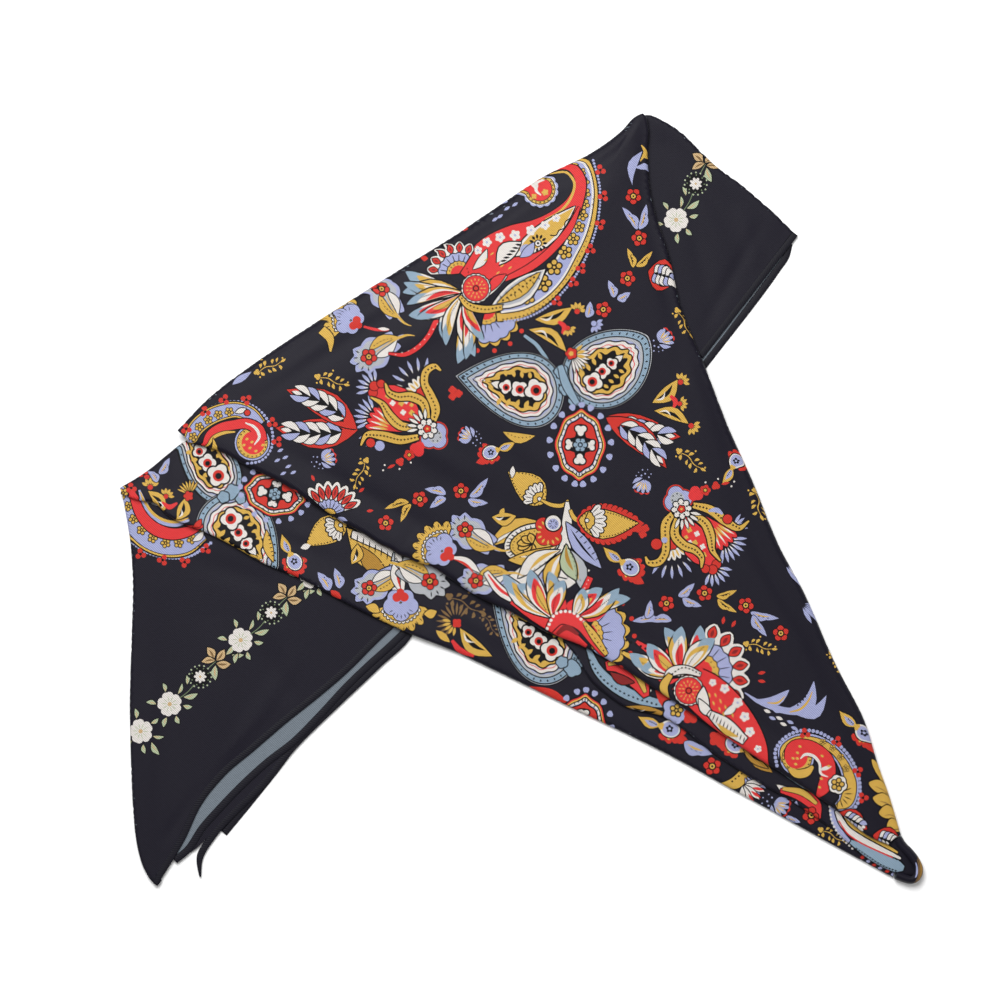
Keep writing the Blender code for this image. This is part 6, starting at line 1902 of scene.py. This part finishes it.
@dataclass(frozen=True)
class SilkFinish:
    """One face of the silk: printed where colour is None, plain otherwise."""
    name: str
    colour: Colour | None = None
    roughness: float = 0.48
    sheen: float = 0.03
    bump: float = 0.3

    def make(self, weave: bpy.types.NodeTree) -> bpy.types.Material:
        """Builds the material.  Returns: the material."""
        material = bpy.data.materials.new(self.name)
        material.use_nodes = True
        tree, links = material.node_tree, material.node_tree.links
        shader = tree.nodes["Principled BSDF"]
        twill = add_node(tree, "ShaderNodeGroup")
        twill.node_tree = weave
        twill.inputs["Twill Scale"].default_value = TWILL_SCALE
        shade = add_node(tree, "ShaderNodeMix")
        shade.data_type = "RGBA"
        shade.blend_type = "MULTIPLY"
        shade.inputs["Factor"].default_value = 1.0
        if self.colour is None:
            printed = add_node(tree, "ShaderNodeVertexColor")
            printed.layer_name = "print"
            links.new(printed.outputs["Color"], shade.inputs["A"])
        else:
            shade.inputs["A"].default_value = (*self.colour, 1)
        links.new(twill.outputs["Shade"], shade.inputs["B"])
        links.new(shade.outputs["Result"], shader.inputs["Base Color"])
        rough = add_node(tree, "ShaderNodeMapRange", {"To Min": self.roughness - ROUGHNESS_SPREAD,
                                                      "To Max": self.roughness + ROUGHNESS_SPREAD})
        links.new(twill.outputs["Height"], rough.inputs["Value"])
        links.new(rough.outputs["Result"], shader.inputs["Roughness"])
        bump = add_node(tree, "ShaderNodeBump", {"Strength": self.bump, "Distance": BUMP_DEPTH})
        links.new(twill.outputs["Height"], bump.inputs["Height"])
        links.new(bump.outputs["Normal"], shader.inputs["Normal"])
        for name, value in (("Sheen Weight", self.sheen), ("Sheen Roughness", 0.35),
                            ("Specular IOR Level", 0.1)):
            shader.inputs[name].default_value = value
        return material


# ---------------------------------------------------------------------------- the stage
FLOOR_HALF = 4        # metres, like the stage's other lengths
FLOOR_DROP = 0.0002   # below the cloth, so that the two never share a plane
AMBIENT = 0.3
VIEW_WIDTH = 0.69     # what the picture shows across
VIEW_MIDDLE = -14.835 * MM
LENS, SENSOR = 200, 36


def add_light(name: str, place: tuple, size: float, power: float) -> None:
    """A soft square lamp that faces the middle of the floor."""
    lamp = bpy.data.lights.new(name, "AREA")
    lamp.size = size
    lamp.energy = power
    thing = bpy.data.objects.new(name, lamp)
    thing.location = place
    thing.rotation_euler = Vector(place).to_track_quat("Z", "Y").to_euler()
    bpy.context.scene.collection.objects.link(thing)


def set_stage() -> None:
    """Pale floor, soft studio light and the camera straight above, with a long lens."""
    mesh = bpy.data.meshes.new("floor")
    corners = [(x * FLOOR_HALF, y * FLOOR_HALF, 0) for x, y in ((-1, -1), (1, -1), (1, 1), (-1, 1))]
    mesh.from_pydata(corners, [], [(0, 1, 2, 3)])
    floor = bpy.data.objects.new("floor", mesh)
    bpy.context.scene.collection.objects.link(floor)
    pale = bpy.data.materials.new("pale_floor")
    pale.use_nodes = True
    shader = pale.node_tree.nodes["Principled BSDF"]
    shader.inputs["Base Color"].default_value = (0.9, 0.9, 0.9, 1)
    shader.inputs["Roughness"].default_value = 0.9
    mesh.materials.append(pale)
    floor.location.z = -FLOOR_DROP
    world = bpy.data.worlds.new("studio")
    world.use_nodes = True
    world.node_tree.nodes["Background"].inputs["Color"].default_value = (1, 1, 1, 1)
    world.node_tree.nodes["Background"].inputs["Strength"].default_value = AMBIENT
    bpy.context.scene.world = world
    add_light("key", (-0.35, 0.9, 1.85), 1.2, 61)
    add_light("fill", (1.2, -0.5, 1.5), 1.6, 6)
    lens = bpy.data.cameras.new("camera")
    lens.lens = LENS
    lens.sensor_width = SENSOR
    camera = bpy.data.objects.new("camera", lens)
    camera.location = (VIEW_MIDDLE, 0, VIEW_WIDTH * LENS / SENSOR)
    bpy.context.scene.collection.objects.link(camera)
    bpy.context.scene.camera = camera
    bpy.context.scene.view_settings.view_transform = "Standard"


# ---------------------------------------------------------------------------- the whole
TIP_OUTLINE = [
    (261.8, -231.5), (264.6, -236), (269.2, -240.6), (273.4, -246), (276, -251), (276.8, -255),
    (275.8, -259.5), (273, -263), (268.3, -264.6), (262.5, -263.3), (256.8, -261),
]
TIP_PROFILE = [(5.8, 0), (2.2, 0), (0.5, 1.3), (0, 4.2), (0.5, 7.4), (2.2, 9.8), (4.2, 10), (5.8, 9)]
CORNER_TOP_TIP = (-251, -266)
CORNER_MIDDLE_HEM = [
    (-220.8, -259.8), (-219.8, -248), (-211, -233), (-197, -217.5), (-179, -200), (-154, -170),
    (-125, -141.6),
    (-97.5, -115.6), (-76, -94.5), (-70, -83),
]
CORNER_MIDDLE_FOLD = [
    (-237.5, -250.5), (-228.5, -243), (-218, -227.5), (-206, -214), (-189, -196.5), (-173.5, -182.5),
    (-156, -169), (-137.5, -150.5), (-118.5, -130), (-104, -116), (-89, -102.5), (-76, -90),
]
CORNER_TIP_FOLD = [(-258.4, -258), (-255.6, -262), (-251, -266)]
FLAP_TOP_HEM = [(190.6, 182.2), (125, 97.6)]
FLAP_UNDER_HEM = [(187, 176.4), (184.6, 167.2), (178.3, 157.8), (127.2, 90.6)]
TIP_NARROWING = 0.7
TAPER = 14.0          # run over which a hem narrows to a tip


def on_plan(shapes: list) -> list:
    """A painter's list moved from the print's chart to millimetres of the plan."""
    return [(np.column_stack([(r[:, 0] - CHART_X) * UNIT, (CHART_Y - r[:, 1]) * UNIT]), t) for r, t in shapes]


def turned_in(corners: list, side: int, tip: float = 1.0) -> tuple[Points, Points]:
    """Edge and inward normals of a hem along a smooth line through the corners, narrower at a tip."""
    line = smooth(corners, 12)
    slim = np.minimum(1, tip + (1 - tip) * lengths(line) / TAPER)
    return line, inward(line, side) * slim[:, None]


def pointed(stretch: Stretch, tip: tuple) -> tuple[Points, Points]:
    """Edge and normals of a hem along a corner's edge B, which narrows to the corner's tip."""
    edge = np.vstack([tip, stretch.table[:, EDGE_B]])
    normal = stretch.table[:, NORMAL_B]
    return edge, np.vstack([normal[0] * TIP_NARROWING, normal])


def reverse_print() -> list:
    """Painter's list of the corner's second layer: dark beyond the hem that lies on its pale reverse."""
    beyond = np.vstack([smooth(CORNER_MIDDLE_FOLD, 4), [(-50, -100), (-60, -300), (-300, -300)]])
    return [(beyond, Tint.GROUND)]


def hidden_folds(finish: bpy.types.Material) -> None:
    """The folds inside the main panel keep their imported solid, dressed as the cloth's plain side."""
    thing = next(n for n in bpy.data.objects if n.name == "hidden_layers")
    for slot in thing.material_slots:
        slot.material = finish


def main() -> None:
    """Builds every piece in order."""
    logging.basicConfig(level=logging.INFO, format="%(name)s: %(message)s")
    weave = weave_group()
    printed = SilkFinish("printed_silk").make(weave)
    reverse = SilkFinish("reverse_silk", Tint.REVERSE.value, 0.5).make(weave)
    dark = SilkFinish("dark_hem", linear(17, 16, 24), 0.45).make(weave)
    thread = SilkFinish("dark_thread", linear(32, 32, 45), 0.5).make(weave)
    faces, turned = (printed, reverse), (reverse, printed)
    hemmed = (0.0, 4.3)
    prints = {
        "main_panel": on_plan(drawn(
            fold_corner, large_paisley, middle_field, nose_curl, chintz, red_flowers, lower_field)),
        "lower_pleat": on_plan(drawn(lower_print)), "middle_pleat": on_plan(drawn(middle_print)),
        "corner_top": on_plan(drawn(corner_print)), "flap_top": on_plan(drawn(flap_print)),
        "corner_middle": reverse_print(), "tip_roll": [(r * UNIT, t) for r, t in drawn(tip_print)],
    }
    stretches = [
        (Stretch("cloth_main_panel", MAIN_PLAN, MAIN_LEVELS, (True, True), creases=MAIN_CREASES), faces),
        (Stretch("cloth_lower_pleat", LOWER_PLAN, LOWER_LEVELS, (True, True), creases=LOWER_CREASES), faces),
        (Stretch("cloth_middle_pleat", MIDDLE_PLAN, MIDDLE_LEVELS, (False, True)), faces),
        (Stretch("cloth_corner_top", CORNER_TOP_PLAN, CORNER_TOP_LEVELS, (True, False), hemmed,
                 CORNER_TOP_CREASES), faces),
        (Stretch("cloth_corner_middle", CORNER_MIDDLE_PLAN, CORNER_MIDDLE_LEVELS, trims=hemmed),
         (printed, printed)),
        (Stretch("cloth_corner_bottom", CORNER_BOTTOM_PLAN, CORNER_BOTTOM_LEVELS, trims=hemmed), faces),
        (Stretch("cloth_flap_top", FLAP_TOP_PLAN, FLAP_TOP_LEVELS, (True, False), creases=FLAP_CREASES),
         faces),
        (Stretch("cloth_flap_under", FLAP_UNDER_PLAN, FLAP_UNDER_LEVELS), turned),
        (Strip("cloth_tip_roll", smooth(TIP_OUTLINE, 4), TIP_PROFILE), faces),
    ]
    made = {}
    for stretch, finishes in stretches:
        node = stretch.name.replace("cloth_", "")
        ground = Tint.REVERSE if node == "corner_middle" else Tint.GROUND
        cloth = Cloth(stretch, node, prints.get(node, []), finishes, ground)
        made[node] = (cloth, cloth.build(), stretch)
    lowest = made["corner_bottom"][2].table
    hems = {
        "corner_top": [(*pointed(made["corner_top"][2], CORNER_TOP_TIP), 3.1),
                       (*turned_in(CORNER_TIP_FOLD, -1), 2.95)],
        "corner_middle": [(*turned_in(CORNER_MIDDLE_HEM, -1, 0.3), 1.55),
                          (*turned_in(CORNER_MIDDLE_FOLD, -1), 2.3)],
        "corner_bottom": [(lowest[:, EDGE_B], lowest[:, NORMAL_B], 0.0)],
        "flap_top": [(*turned_in(FLAP_TOP_HEM, 1), 1.75)],
        "flap_under": [(*turned_in(FLAP_UNDER_HEM, 1), 0.0)],
    }
    bands = {node: Hem(f"cloth_hem_{node}", rails, (dark, thread)).build() for node, rails in hems.items()}
    hidden_folds(reverse)
    set_stage()
    for node, (cloth, thing, stretch) in made.items():
        width, length = cloth.cut()
        area = min(flat_area(stretch.outline()), width * length)
        log.info("%s: cut %.3f x %.3f m, %.4f m2 flat, %.4f m2 made", node, width, length, area, cloth.area)


if __name__ == "__main__":
    main()
